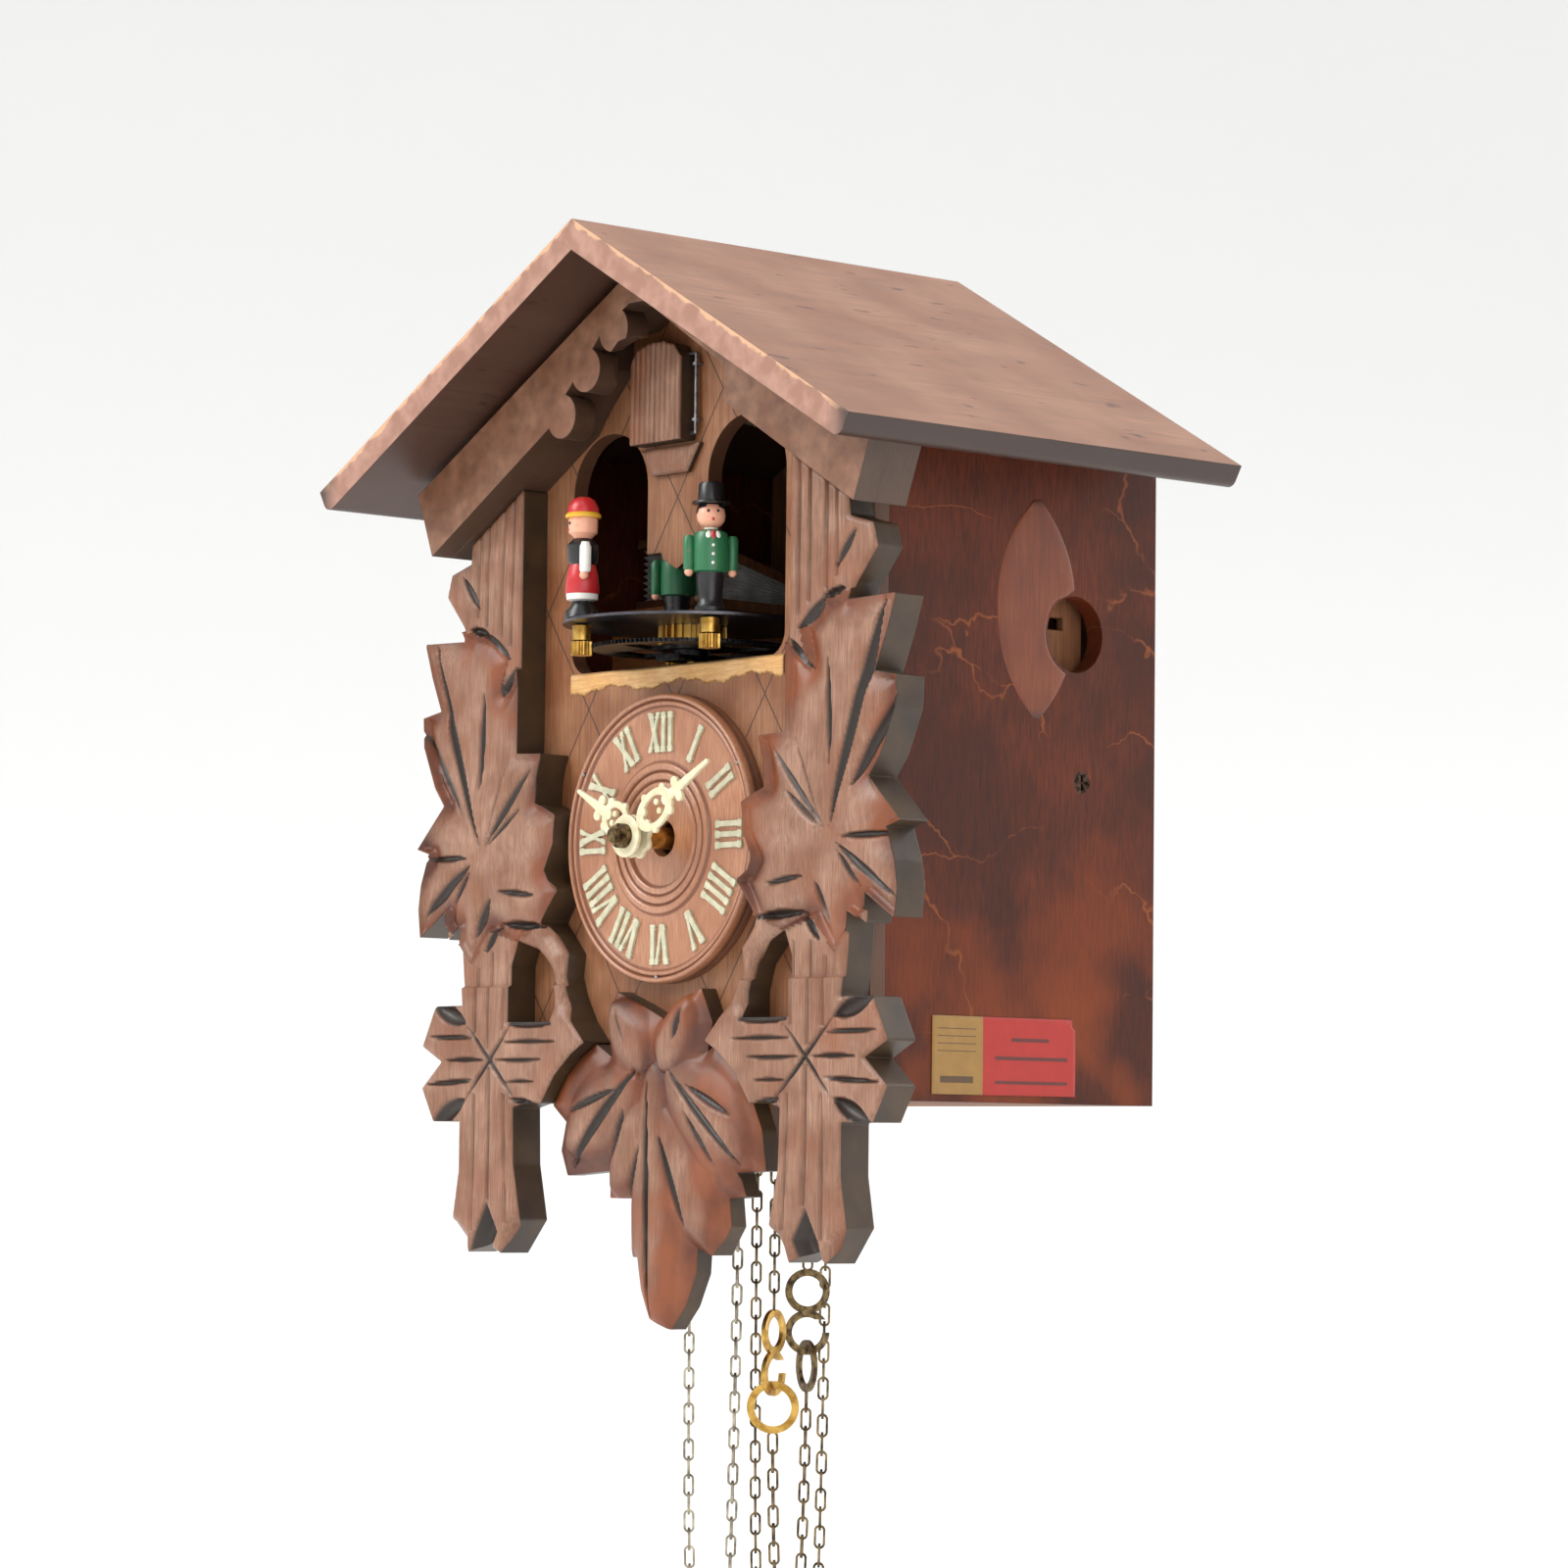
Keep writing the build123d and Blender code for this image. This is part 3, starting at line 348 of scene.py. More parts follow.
# Case. Two side boards in dark polished veneer, a plywood back and a plywood front, screwed
# and glued; the veneer's polish has crackled into wandering lighter lines.
def stained_wood(name, dark, mid, light, grain=(0.7, 0.7, 16), blotch=22, roughness=0.5, bump=0.25):
    """Stained wood: fibres drawn along the longest of the grain's three sizes in mm, over larger
    patches where the stain took unevenly. Returns the material, its tree, shader and colour."""
    made, tree, shader = material(name, roughness)
    here = add(tree, "TexCoord", out="Object")
    pulled = add(tree, "Mapping", {"Vector": here, "Scale": [1 / (g * MM) for g in grain]})
    fibres = add(tree, "TexNoise", {"Vector": pulled, "Scale": 1.0, "Detail": 4.0, "Roughness": 0.6})
    patches = add(tree, "TexNoise", {"Vector": here, "Scale": 1 / (blotch * MM), "Detail": 3.0})
    body = add(tree, "Mix", {0: add(tree, "MapRange", {0: patches, 1: 0.36, 2: 0.64}), 6: mid, 7: light},
               data_type="RGBA", out=2)
    colour = lay_tone(tree, body, dark, add(tree, "MapRange", {0: fibres, 1: 0.68, 2: 0.34}), 0.6)
    tree.links.new(colour, shader.inputs["Base Color"])
    rough = add(tree, "MapRange", {0: fibres, 1: 0.0, 2: 1.0, 3: roughness - 0.1, 4: roughness + 0.12})
    tree.links.new(rough, shader.inputs["Roughness"])
    soft = add(tree, "Bevel", {"Radius": 0.5 * MM}, samples=4)
    relief_node = add(tree, "Bump", {"Height": fibres, "Strength": bump, "Distance": 0.2 * MM,
                                     "Normal": soft})
    tree.links.new(relief_node, shader.inputs["Normal"])
    return made, tree, shader, colour


def finish_nodes(finish, *names):
    """Gives CAD nodes a finish."""
    for node_name in names:
        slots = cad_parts[node_name].data.materials
        slots.clear()
        slots.append(finish)


def repaint(tree, shader, colour):
    """Feeds a new colour to the shader."""
    tree.links.new(colour, shader.inputs["Base Color"])


# Polished veneer: near black-brown with upright grain, orange where the stain is thin.
veneer, tree, shader, colour = stained_wood("crackled_beech_veneer", "#1A0A05", "#481C0C", "#65290F",
                                            (0.6, 0.6, 6), 34, 0.5, 0.12)
here = add(tree, "TexCoord", out="Object")
wander = add(tree, "TexNoise", {"Vector": here, "Scale": 40.0, "Detail": 4.0}, out=None)
shifted = add(tree, "Mix", {0: 0.03, 4: here, 5: wander.outputs["Color"]}, data_type="VECTOR", out=1)
lying = add(tree, "Mapping", {"Vector": shifted, "Scale": (20.0, 11.0, 26.0)})
cells = add(tree, "TexVoronoi", {"Vector": lying, "Scale": 1.0}, feature="DISTANCE_TO_EDGE")
gaps = add(tree, "TexNoise", {"Vector": here, "Scale": 30.0, "Detail": 2.0})
line = add(tree, "Math", {0: add(tree, "MapRange", {0: cells, 1: 0.009, 2: 0.0}),
                          1: add(tree, "MapRange", {0: wander.outputs[0], 1: 0.44, 2: 0.56})},
           operation="MULTIPLY")
colour = lay_tone(tree, colour, "#A0582A", line, 0.5)
height = add(tree, "SeparateXYZ", {0: here}, out=2)
low_glow = add(tree, "Math", {0: add(tree, "MapRange", {0: height, 1: -0.09, 2: -0.165}),
                              1: add(tree, "MapRange", {0: gaps, 1: 0.42, 2: 0.62})}, operation="MULTIPLY")
colour = lay_tone(tree, colour, "#8C3F14", low_glow, 0.6)
repaint(tree, shader, colour)
shader.inputs["Specular IOR Level"].default_value = 0.22
shader.inputs["Coat Weight"].default_value = 0.05
shader.inputs["Coat Roughness"].default_value = 0.25
finish_nodes(veneer, "side_panel_left", "side_panel_right")
# Unpolished plywood and beech inside: brown, dry and dusty.
raw_brown, tree, shader, colour = stained_wood("dusty_plywood", "#4A2A18", "#7A4A2A", "#93613A",
                                               (0.6, 0.6, 14), 20, 0.7)
finish_nodes(raw_brown, "base_board", "back_panel", "whistle_left", "whistle_right", "bellows_top_left",
             "bellows_top_right")
# The musical movement's sound box is planed, orange and unstained.
box_wood, tree, shader, colour = stained_wood("planed_box_wood", "#7A4522", "#B8743F", "#CC8D56",
                                              (12, 0.6, 0.6), 20, 0.6)
finish_nodes(box_wood, "music_sound_box")
zinc = worn_metal("zinc_plated_steel", "#77777A", "#A9A9AC", 0.38, 2.0)
finish_nodes(zinc, "hanger_plate", "pendulum_leader", "gong_hammer", "door_hinge_wire")
finish_nodes(worn_metal("browned_steel_screws", "#1A1310", "#5A463A", 0.5, 1.2), "case_screws")

# Veneer patch. A long almond-shaped slip of lighter veneer let into the right side over
# a fault, with a dark glue line round it.
case_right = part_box("side_panel_right")[1].x
HOLE_Y, HOLE_Z, HOLE_R = 85.0, 56.5, 10.7


def almond(name, y_mid, z_mid, half_wide, half_tall, proud, finish):
    """A thin almond on the side: rows run up it, each as wide as the square of its distance
    from the tips allows, with its rim dropped to the board."""
    up = np.linspace(-1, 1, 41)
    over = np.linspace(-1, 1, 13)
    width = half_wide * np.maximum(1 - np.abs(up) ** 2.4, 0.02)
    hole_y = np.sqrt(np.maximum(HOLE_R ** 2 - (z_mid + up * half_tall - HOLE_Z) ** 2, 0))
    right = np.where(hole_y > 0, np.minimum(width, HOLE_Y - hole_y - y_mid), width)
    y = y_mid + np.where(over < 0, np.outer(width, over), np.outer(right, over))
    z = z_mid + np.outer(up * half_tall, np.ones(13))
    edge = np.maximum(np.abs(over)[None, :], np.abs(up)[:, None])
    x = (case_right - ARBOR[0]) / MM + np.where(edge > 0.995, -0.3, proud)
    top = place(np.stack([x, y, z], 2).reshape(-1, 3))
    made = grid_object(name, top, quads(41, 13), sharp=60)
    attribute = made.data.attributes.new("rim", "FLOAT", "POINT")
    attribute.data.foreach_set("value", edge.ravel())
    solid = made.modifiers.new("thickness", "SOLIDIFY")
    solid.thickness = 0.2 * MM
    made.data.materials.append(finish)
    return made


# Thin slip of beech veneer, stained lighter than the board.
slip, tree, shader, colour = stained_wood("light_veneer_slip", "#43190B", "#70300F", "#7E3C18",
                                          (0.5, 0.5, 12), 16, 0.42, 0.1)
rim = add(tree, "Attribute", attribute_name="rim", out="Fac")
repaint(tree, shader, add(tree, "Mix", {0: add(tree, "MapRange", {0: rim, 1: 0.88, 2: 0.97}), 6: colour,
                                        7: "#3A180C"}, data_type="RGBA", out=2))
PATCH_Y, PATCH_Z, PATCH_HALF, PATCH_TALL = 70.5, 62.5, 16.5, 31.0
patch = almond("veneer_patch", PATCH_Y, PATCH_Z, PATCH_HALF, PATCH_TALL, 0.12, slip)
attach(patch, "case")

# Tune label. A red paper label with a gold panel at its front end, pasted low on the
# right side; its words are left off, and plain rules stand for its lines.
LABEL_FRONT, LABEL_BACK, GOLD_END = 33.0, 86.0, 51.5
LABEL_LOW, LABEL_TOP = -70.0, -49.0
RULES = ((62, 76, -55, 0.5), (56, 83, -60, 0.5), (56, 83, -66.5, 0.45), (35, 49, -52.4, 0.12),
         (35, 49, -54.4, 0.12), (35, 49, -56.4, 0.12), (35, 49, -58.4, 0.12), (36, 48, -66, 0.9))
label_y = np.linspace(LABEL_FRONT, LABEL_BACK, 54)
label_z = np.linspace(LABEL_LOW, LABEL_TOP, 22)
yy, zz = np.meshgrid(label_y, label_z, indexing="ij")
lift = 0.16 + 0.05 * np.sin(yy / 5) * np.cos(zz / 4)
torn = np.where((yy > LABEL_BACK - 2) & (zz > LABEL_TOP - 2.5), 1.2, 0.0)
label_points = np.stack([82 + lift, yy - torn, zz], 2).reshape(-1, 3)
label = grid_object("tune_label", place(label_points), quads(54, 22))
solid = label.modifiers.new("thickness", "SOLIDIFY")
solid.thickness = 0.12 * MM
# Coated printing paper: flat red ink, dull gold, slightly soiled.
printed, tree, shader = material("printed_paper", 0.5)
here = add(tree, "TexCoord", out="Object")
parts = add(tree, "SeparateXYZ", {0: here}, out=None)
soil = add(tree, "TexNoise", {"Vector": here, "Scale": 300.0, "Detail": 4.0})
gold_part = add(tree, "Math", {0: parts.outputs[1], 1: float(place((0, GOLD_END, 0))[1])},
                operation="LESS_THAN")
red = add(tree, "Mix", {0: soil, 6: "#A8231A", 7: "#941C15"}, data_type="RGBA", out=2)
gold = add(tree, "Mix", {0: soil, 6: "#9C7638", 7: "#7E5C2C"}, data_type="RGBA", out=2)
inked = add(tree, "Mix", {0: gold_part, 6: red, 7: gold}, data_type="RGBA", out=2)
for y_low, y_high, z_mid, half in RULES:
    middle = float(place((0, (y_low + y_high) / 2, 0))[1])
    far_y = add(tree, "Math", {0: parts.outputs[1], 1: middle, 2: (y_high - y_low) / 2 * MM},
                operation="COMPARE")
    far_z = add(tree, "Math", {0: parts.outputs[2], 1: float(place((0, 0, z_mid))[2]), 2: half * MM},
                operation="COMPARE")
    rule = add(tree, "Math", {0: far_y, 1: far_z}, operation="MULTIPLY")
    inked = lay_tone(tree, inked, "#30201C", rule, 0.8)
repaint(tree, shader, inked)
label.data.materials.append(printed)
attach(label, "case")

# Roof. Two plain spruce boards meeting at the ridge, stained red-brown; the front edge
# is planed and its top corner chipped to pale wood, and the eaves are rounded. Painted shade
# darkens the boards' undersides and the downturned faces of the eaves.
roof, tree, shader, colour = stained_wood("stained_spruce_roof", "#62402F", "#87583F", "#9C7056",
                                          (0.9, 26, 0.9), 30, 0.45, 0.15)
here = add(tree, "TexCoord", out=None)
facing = add(tree, "SeparateXYZ", {0: here.outputs["Normal"]}, out=None)
spot = add(tree, "SeparateXYZ", {0: here.outputs["Object"]}, out=None)
ridge_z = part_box("roof_board_right")[1].z
ROOF_RISE = 65 / 115
away = add(tree, "Math", {0: spot.outputs[0]}, operation="ABSOLUTE")
drop = add(tree, "Math", {0: away, 1: ROOF_RISE, 2: spot.outputs[2]}, operation="MULTIPLY_ADD")
under = add(tree, "Math", {0: ridge_z, 1: drop}, operation="SUBTRACT")
nick = add(tree, "TexNoise", {"Vector": here.outputs["Object"], "Scale": 160.0, "Detail": 3.0})
long_spots = add(tree, "Mapping", {"Vector": here.outputs["Object"], "Scale": (260.0, 90.0, 260.0)})
pits = add(tree, "TexNoise", {"Vector": long_spots, "Scale": 1.0, "Detail": 2.0})
colour = lay_tone(tree, colour, "#4A2A20", add(tree, "MapRange", {0: pits, 1: 0.66, 2: 0.72}), 0.7)
# Painted shade: faces turned downwards, the boards' undersides, are darkened.
underside_shade = add(tree, "MapRange", {0: facing.outputs[2], 1: -0.2, 2: -0.5})
colour = lay_tone(tree, colour, "#2A1712", underside_shade, 0.82)
front = add(tree, "MapRange", {0: facing.outputs[1], 1: -0.6, 2: -0.8})
front_colour = add(tree, "Mix", {0: add(tree, "MapRange", {0: nick, 1: 0.4, 2: 0.6}), 6: "#A67D6C",
                                 7: "#936A59"}, data_type="RGBA", out=2)
jagged = add(tree, "Math", {0: nick, 1: 0.006, 2: under}, operation="MULTIPLY_ADD")
chip = add(tree, "Math", {0: add(tree, "MapRange", {0: jagged, 1: 0.0042, 2: 0.0036}), 1: 0.8},
           operation="MULTIPLY")
front_colour = add(tree, "Mix", {0: chip, 6: front_colour, 7: "#CFA27C"}, data_type="RGBA", out=2)
colour = add(tree, "Mix", {0: front, 6: colour, 7: front_colour}, data_type="RGBA", out=2)
# Painted shade: the outermost band of each eave, where its faces turn sideways and down, is darkened.
eave_shade = add(tree, "Math", {0: add(tree, "MapRange", {0: away, 1: 0.106, 2: 0.1135}),
                              1: add(tree, "MapRange", {0: facing.outputs[2], 1: 0.3, 2: 0.0})},
               operation="MULTIPLY")
colour = lay_tone(tree, colour, "#33241F", eave_shade, 0.9)
repaint(tree, shader, colour)
finish_nodes(roof, "roof_board_left", "roof_board_right")

# Front board. Plywood with scribed diamonds, its lower part behind the dial; where a
# balcony was glued on, a strip of bare wood shows with a torn edge.
ply, tree, shader, colour = stained_wood("scribed_front_board", "#55290F", "#87532F", "#A47350",
                                         (0.5, 0.5, 14), 20, 0.5, 0.2)
here = add(tree, "TexCoord", out=None)
spot = add(tree, "SeparateXYZ", {0: here.outputs["Object"]}, out=None)
facing = add(tree, "SeparateXYZ", {0: here.outputs["Normal"]}, out=None)
DIAMOND = 19.0
DIAMOND_TALL = 1.5
scribe = None
for lean in (-1, 1):
    slant = add(tree, "Math", {0: spot.outputs[0], 1: lean * DIAMOND_TALL, 2: spot.outputs[2]},
                operation="MULTIPLY_ADD")
    wave = add(tree, "Math", {0: slant, 1: DIAMOND * DIAMOND_TALL * MM}, operation="PINGPONG")
    near = add(tree, "MapRange", {0: wave, 1: 0.55 * MM, 2: 0.25 * MM})
    scribe = near if scribe is None else add(tree, "Math", {0: scribe, 1: near}, operation="MAXIMUM")
scribe = add(tree, "Math", {0: scribe, 1: add(tree, "MapRange", {0: facing.outputs[1], 1: -0.7, 2: -0.9})},
             operation="MULTIPLY")
colour = lay_tone(tree, colour, "#2E1A12", scribe, 0.9)
# Painted shade: every face that does not face the front, the board's edges and the walls of its openings,
# is darkened.
edge_shade = add(tree, "MapRange", {0: facing.outputs[1], 1: -0.5, 2: -0.2})
colour = lay_tone(tree, colour, "#3A2218", edge_shade, 0.75)
repaint(tree, shader, colour)
finish_nodes(ply, "front_board")
board_y = (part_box("front_board")[0].y - ARBOR[1]) / MM
STRIP_HALF, STRIP_TOP, STRIP_LOW = 46.0, 48.3, 43.2
over = np.linspace(-STRIP_HALF, STRIP_HALF, 120)
ragged = STRIP_LOW + 0.9 * np.sin(over * 0.21 + 1) + 0.35 * np.sin(over * 0.83)
ragged += 0.22 * np.sin(over * 2.9 + 1)
up = np.linspace(0, 1, 8)
zz = ragged[:, None] + up[None, :] * (STRIP_TOP - ragged[:, None])
strip_y = np.where((up == 0) | (up == 1), board_y + 0.1,
                   board_y - 0.22 + 0.08 * np.sin(over * 1.7)[:, None])
strip_points = np.stack([np.outer(over, np.ones(8)), strip_y, zz], 2).reshape(-1, 3)
strip = grid_object("bare_wood_strip", place(strip_points), quads(120, 8), sharp=60)
solid = strip.modifiers.new("thickness", "SOLIDIFY")
solid.thickness = 0.2 * MM
# Bare beech with old hide glue: yellow, with redder torn fibres low down.
bare, tree, shader, colour = stained_wood("bare_wood_with_glue", "#A86F3C", "#D8A869", "#E2BA82",
                                          (8, 0.5, 0.5), 9, 0.6, 0.3)
strip.data.materials.append(bare)
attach(strip, "case")

# Carved posts. Each is sawn from one lime board: a reeded pillar with a vine leaf over it,
# a cross and a cloven foot, cut with a gouge, stained, and rubbed pale on the high faces.
def outline_distance(x, z, outline):
    """Distance from points to a closed outline, negative inside: the least distance to any of
    its sides, with the sign from how often a level line to the right crosses it."""
    points = np.asarray(outline, float)
    following = np.roll(points, -1, 0)
    least = np.full(x.shape, 1e9)
    inside = np.zeros(x.shape, bool)
    for (ax, az), (bx, bz) in zip(points, following):
        ex, ez = bx - ax, bz - az
        share = np.clip(((x - ax) * ex + (z - az) * ez) / (ex * ex + ez * ez), 0, 1)
        least = np.minimum(least, np.hypot(x - ax - share * ex, z - az - share * ez))
        if bz != az:
            crossed = ((az > z) != (bz > z)) & (x < ex * (z - az) / ez + ax)
            inside ^= crossed
    return np.where(inside, -least, least)


def gouge_cut(x, z, strokes, taper=0.7):
    """Depth of the deepest gouge stroke at each point. A stroke runs from its first end to its
    second, lens-shaped along its length and round across it."""
    depth = np.zeros(x.shape)
    for ax, az, bx, bz, wide, deep in strokes:
        ex, ez = bx - ax, bz - az
        long = math.hypot(ex, ez)
        along = ((x - ax) * ex + (z - az) * ez) / long ** 2
        aside = ((x - ax) * ez - (z - az) * ex) / long
        swell = ((along > 0) & (along < 1)) * 1.0
        if taper:
            swell = np.sin(math.pi * np.clip(along, 0, 1)) ** taper
        half = np.maximum(wide / 2 * swell, 0.01)
        cut = deep * np.sqrt(swell) * (1 - (aside / half) ** 2)
        depth = np.maximum(depth, np.where(np.abs(aside) < half, cut, 0))
    return depth


def relief(name, distance, box, step, front, back, finish):
    """A flat piece with a worked front. Cells of a square grid are kept where distance(x, z) is
    negative, their rim is drawn onto the zero line, the front's y is front(x, z, distance),
    which also returns how deeply it is cut and how hollow it is, and the back is flat."""
    xs = np.arange(box[0], box[1] + step, step)
    zs = np.arange(box[2], box[3] + step, step)
    x, z = np.meshgrid(xs, zs, indexing="ij")
    keep = distance(x[:-1, :-1] + step / 2, z[:-1, :-1] + step / 2) < 0
    cells = quads(len(xs), len(zs))[keep.ravel()]
    used, flat = np.unique(cells, return_inverse=True)
    cells = flat.reshape(-1, 4)
    x, z = x.ravel()[used], z.ravel()[used]
    sides = np.concatenate([cells[:, [i, (i + 1) % 4]] for i in range(4)])
    known = set(map(tuple, sides.tolist()))
    rim = np.array([s for s in known if (s[1], s[0]) not in known])
    on_rim = np.unique(rim)
    small = 0.05
    for _ in range(3):
        rx, rz = x[on_rim], z[on_rim]
        here = distance(rx, rz)
        gx = (distance(rx + small, rz) - distance(rx - small, rz)) / (2 * small)
        gz = (distance(rx, rz + small) - distance(rx, rz - small)) / (2 * small)
        size = np.maximum(gx * gx + gz * gz, 0.3)
        x[on_rim] -= np.clip(here * gx / size, -step * 0.7, step * 0.7)
        z[on_rim] -= np.clip(here * gz / size, -step * 0.7, step * 0.7)
    y, cut, hollow = front(x, z, distance(x, z))
    count = len(x)
    points = np.concatenate([np.stack([x, y, z], 1), np.stack([x, np.full(count, back), z], 1)])
    walls = np.stack([rim[:, 1], rim[:, 0], rim[:, 0] + count, rim[:, 1] + count], 1)
    faces = np.concatenate([cells, cells[:, ::-1] + count, walls])
    made = grid_object(name, place(points), faces[:, ::-1], sharp=38)
    for key, values in (("cut", np.r_[cut, cut * 0]), ("hollow", np.r_[hollow, hollow * 0])):
        made.data.attributes.new(key, "FLOAT", "POINT").data.foreach_set("value", values.astype(np.float32))
    wall = np.r_[np.zeros(len(cells)), np.ones(len(cells) + len(walls))]
    made.data.attributes.new("wall", "FLOAT", "FACE").data.foreach_set("value", wall.astype(np.float32))
    made.data.materials.append(finish)
    return made


# Lime wood, stained brown and rubbed back: pinkish on the flats, orange in the hollows,
# nearly black in the gouge cuts and down the sawn sides.
carved, tree, shader, colour = stained_wood("carved_lime_rubbed_stain", "#53301D", "#885D44", "#A67E67",
                                            (0.5, 0.5, 9), 14, 0.42, 0.15)
fields = {key: add(tree, "Attribute", attribute_name=key, out="Fac") for key in ("cut", "hollow", "wall")}
here = add(tree, "TexCoord", out="Object")
cloud = add(tree, "TexNoise", {"Vector": here, "Scale": 75.0, "Detail": 3.0})
warm = add(tree, "Mix", {0: add(tree, "MapRange", {0: cloud, 1: 0.35, 2: 0.65}), 6: "#4F230E",
                         7: "#7C3F1B"}, data_type="RGBA", out=2)
uneven = add(tree, "Math", {0: fields["hollow"], 1: add(tree, "Math", {0: cloud, 1: 0.45},
                                                        operation="SUBTRACT")}, operation="ADD")
colour = add(tree, "Mix", {0: add(tree, "MapRange", {0: uneven, 1: 0.03, 2: 0.5}), 6: colour, 7: warm},
             data_type="RGBA", out=2)
colour = add(tree, "Mix", {0: add(tree, "MapRange", {0: fields["cut"], 1: 0.12, 2: 0.55}), 6: colour,
                           7: "#281B13"}, data_type="RGBA", out=2)
side_tone = add(tree, "Mix", {0: add(tree, "MapRange", {0: cloud, 1: 0.3, 2: 0.7}), 6: "#2B1E15",
                              7: "#46331F"}, data_type="RGBA", out=2)
colour = add(tree, "Mix", {0: fields["wall"], 6: colour, 7: side_tone}, data_type="RGBA", out=2)
repaint(tree, shader, colour)

outer = [(81.5, 87.6), (82, 82), (91, 79.5), (93, 73), (85, 64), (82.5, 59.5), (101.5, 60), (98, 50),
         (93.5, 40), (102, 38.5), (101.5, 30), (96, 18), (91.5, 12.5), (104, 0.5), (98.5, -1), (102, -10),
         (103, -17), (102, -25), (90.5, -18), (90, -26), (83.5, -22.5), (83, -31), (81.5, -45), (94, -45),
         (100, -56.5), (91, -61), (100, -68.5), (94.5, -78), (82, -78)]
foot = [(82, -92), (84.5, -105.5), (77, -115), (69.5, -112), (62, -115), (53.5, -105.5), (57, -90),
        (57.5, -74)]
arm = [(51, -72.5), (45, -73), (39, -65), (31.5, -59), (26, -56), (32, -50), (36, -43.5), (38.5, -37.5),
       (37.5, -31), (44, -24)]
inner = [(46, -22), (43, -18), (38.5, -13), (43, -10.5), (45, -7.5), (41, 0), (38, 7), (45, 10),
         (49.5, 11.5), (49, 19), (47, 25.5), (58, 26), (58, 101.6)]
arch = [(41.5, -50), (60.5, -50), (60.5, -34), (57.5, -27), (50, -29.5), (44, -35.5), (41.5, -43)]
leaf_edge = [(82, 62), (104, 66), (110, 0), (108, -30), (90.5, -22), (84, -27), (78, -33), (70, -24),
             (58, -27), (46, -23), (34, -20), (34, 30), (56.5, 28), (58, 50), (66, 44), (63, 54), (72, 60)]
leaf_veins = [(97.3, 60.3, 75.4, 0, 4.2, 2.4), (74.2, 45.3, 75.5, 15.9, 2.8, 1.6),
              (102.4, 34.8, 83.4, 9.5, 3.6, 2), (61.5, 25.8, 72.8, 0.5, 1.2, 0.7),
              (51.6, 22.7, 73.4, -0.3, 2.8, 1.4), (56.7, 11, 72.2, -0.2, 2, 1.2),
              (80, -2.8, 100.5, -2.6, 2.4, 1.6), (78.6, -4.5, 101.4, -19.4, 3.4, 1.8),
              (78.9, -6.4, 87.5, -16.4, 2.2, 1.4), (49, -14.5, 66.2, -12.7, 2.4, 1.4),
              (69.7, -14, 76.6, -26.1, 3, 1.6), (62, 53, 74, 61.4, 3.2, 2.6),
              (72, 61, 81.3, 63.1, 2.8, 2.4), (58.6, 50.9, 67.5, 42.2, 3, 2.2),
              (85.2, 78.7, 76.7, 68.3, 3, 1.8), (45.2, -23.3, 65.1, -22.2, 3, 2.2),
              (65.4, -22.6, 72.1, -30.2, 3, 2.4)]
reeds = [(61.8, 100, 62.2, 57, 1.5, 1), (66.2, 100, 66.6, 60, 1.5, 1), (73.1, 98, 73.5, 63, 1.5, 1),
         (77.3, 93, 77.5, 66, 1.2, 0.8), (61.8, -30, 62, -52, 1.2, 0.8), (68.6, -30, 68.9, -58, 1.2, 0.9),
         (74.6, -34, 74.8, -53, 1.6, 0.9), (61.2, -70, 59.6, -107, 1.3, 0.9),
         (68.3, -63, 67.8, -100, 1.8, 1.1), (74.7, -70, 75.2, -109, 1.5, 0.9)]
cross_cuts = [(58.6, -51, 79.2, -72.2, 1.6, 1.3), (79.2, -50, 55.2, -72.6, 1.8, 1.4),
              (37.6, -55.6, 62.5, -55.5, 1.7, 1.2), (43.1, -60.7, 66.3, -60.7, 1.7, 1.2),
              (46.7, -66.7, 60.4, -66.7, 1.6, 1.1), (74.8, -54.2, 97.3, -53.9, 1.8, 1.3),
              (70.1, -60.5, 88.6, -60.5, 1.8, 1.3), (74.4, -66.3, 97.7, -67.5, 2, 1.4)]
facets = [(39.5, -50.4, 61, -50.4, 3.2, 2.6), (47, -73.2, 58, -71.8, 2.6, 2), (79, -71.8, 94, -78.5, 6, 3),
          (79, -50, 94.5, -45, 6, 3)]
notch = [(68.5, -99.6), (62.7, -109), (66.6, -116), (76.6, -116), (74.3, -109.4)]
hooves = [[(76.5, -109.4), (83.1, -104.6), (92, -104), (92, -118), (76, -118)],
          [(60.5, -109.4), (57, -104.6), (50, -104), (50, -118), (64, -118)]]


def post_distance(x, z):
    """The post's outline with the arch and the dial's round seat taken out."""
    solid = outline_distance(x, z, outer + foot + arm + inner)
    hole = outline_distance(x, z, arch)
    seat = 41.0 - np.hypot(x, z)
    return np.maximum(np.maximum(solid, -hole), seat)


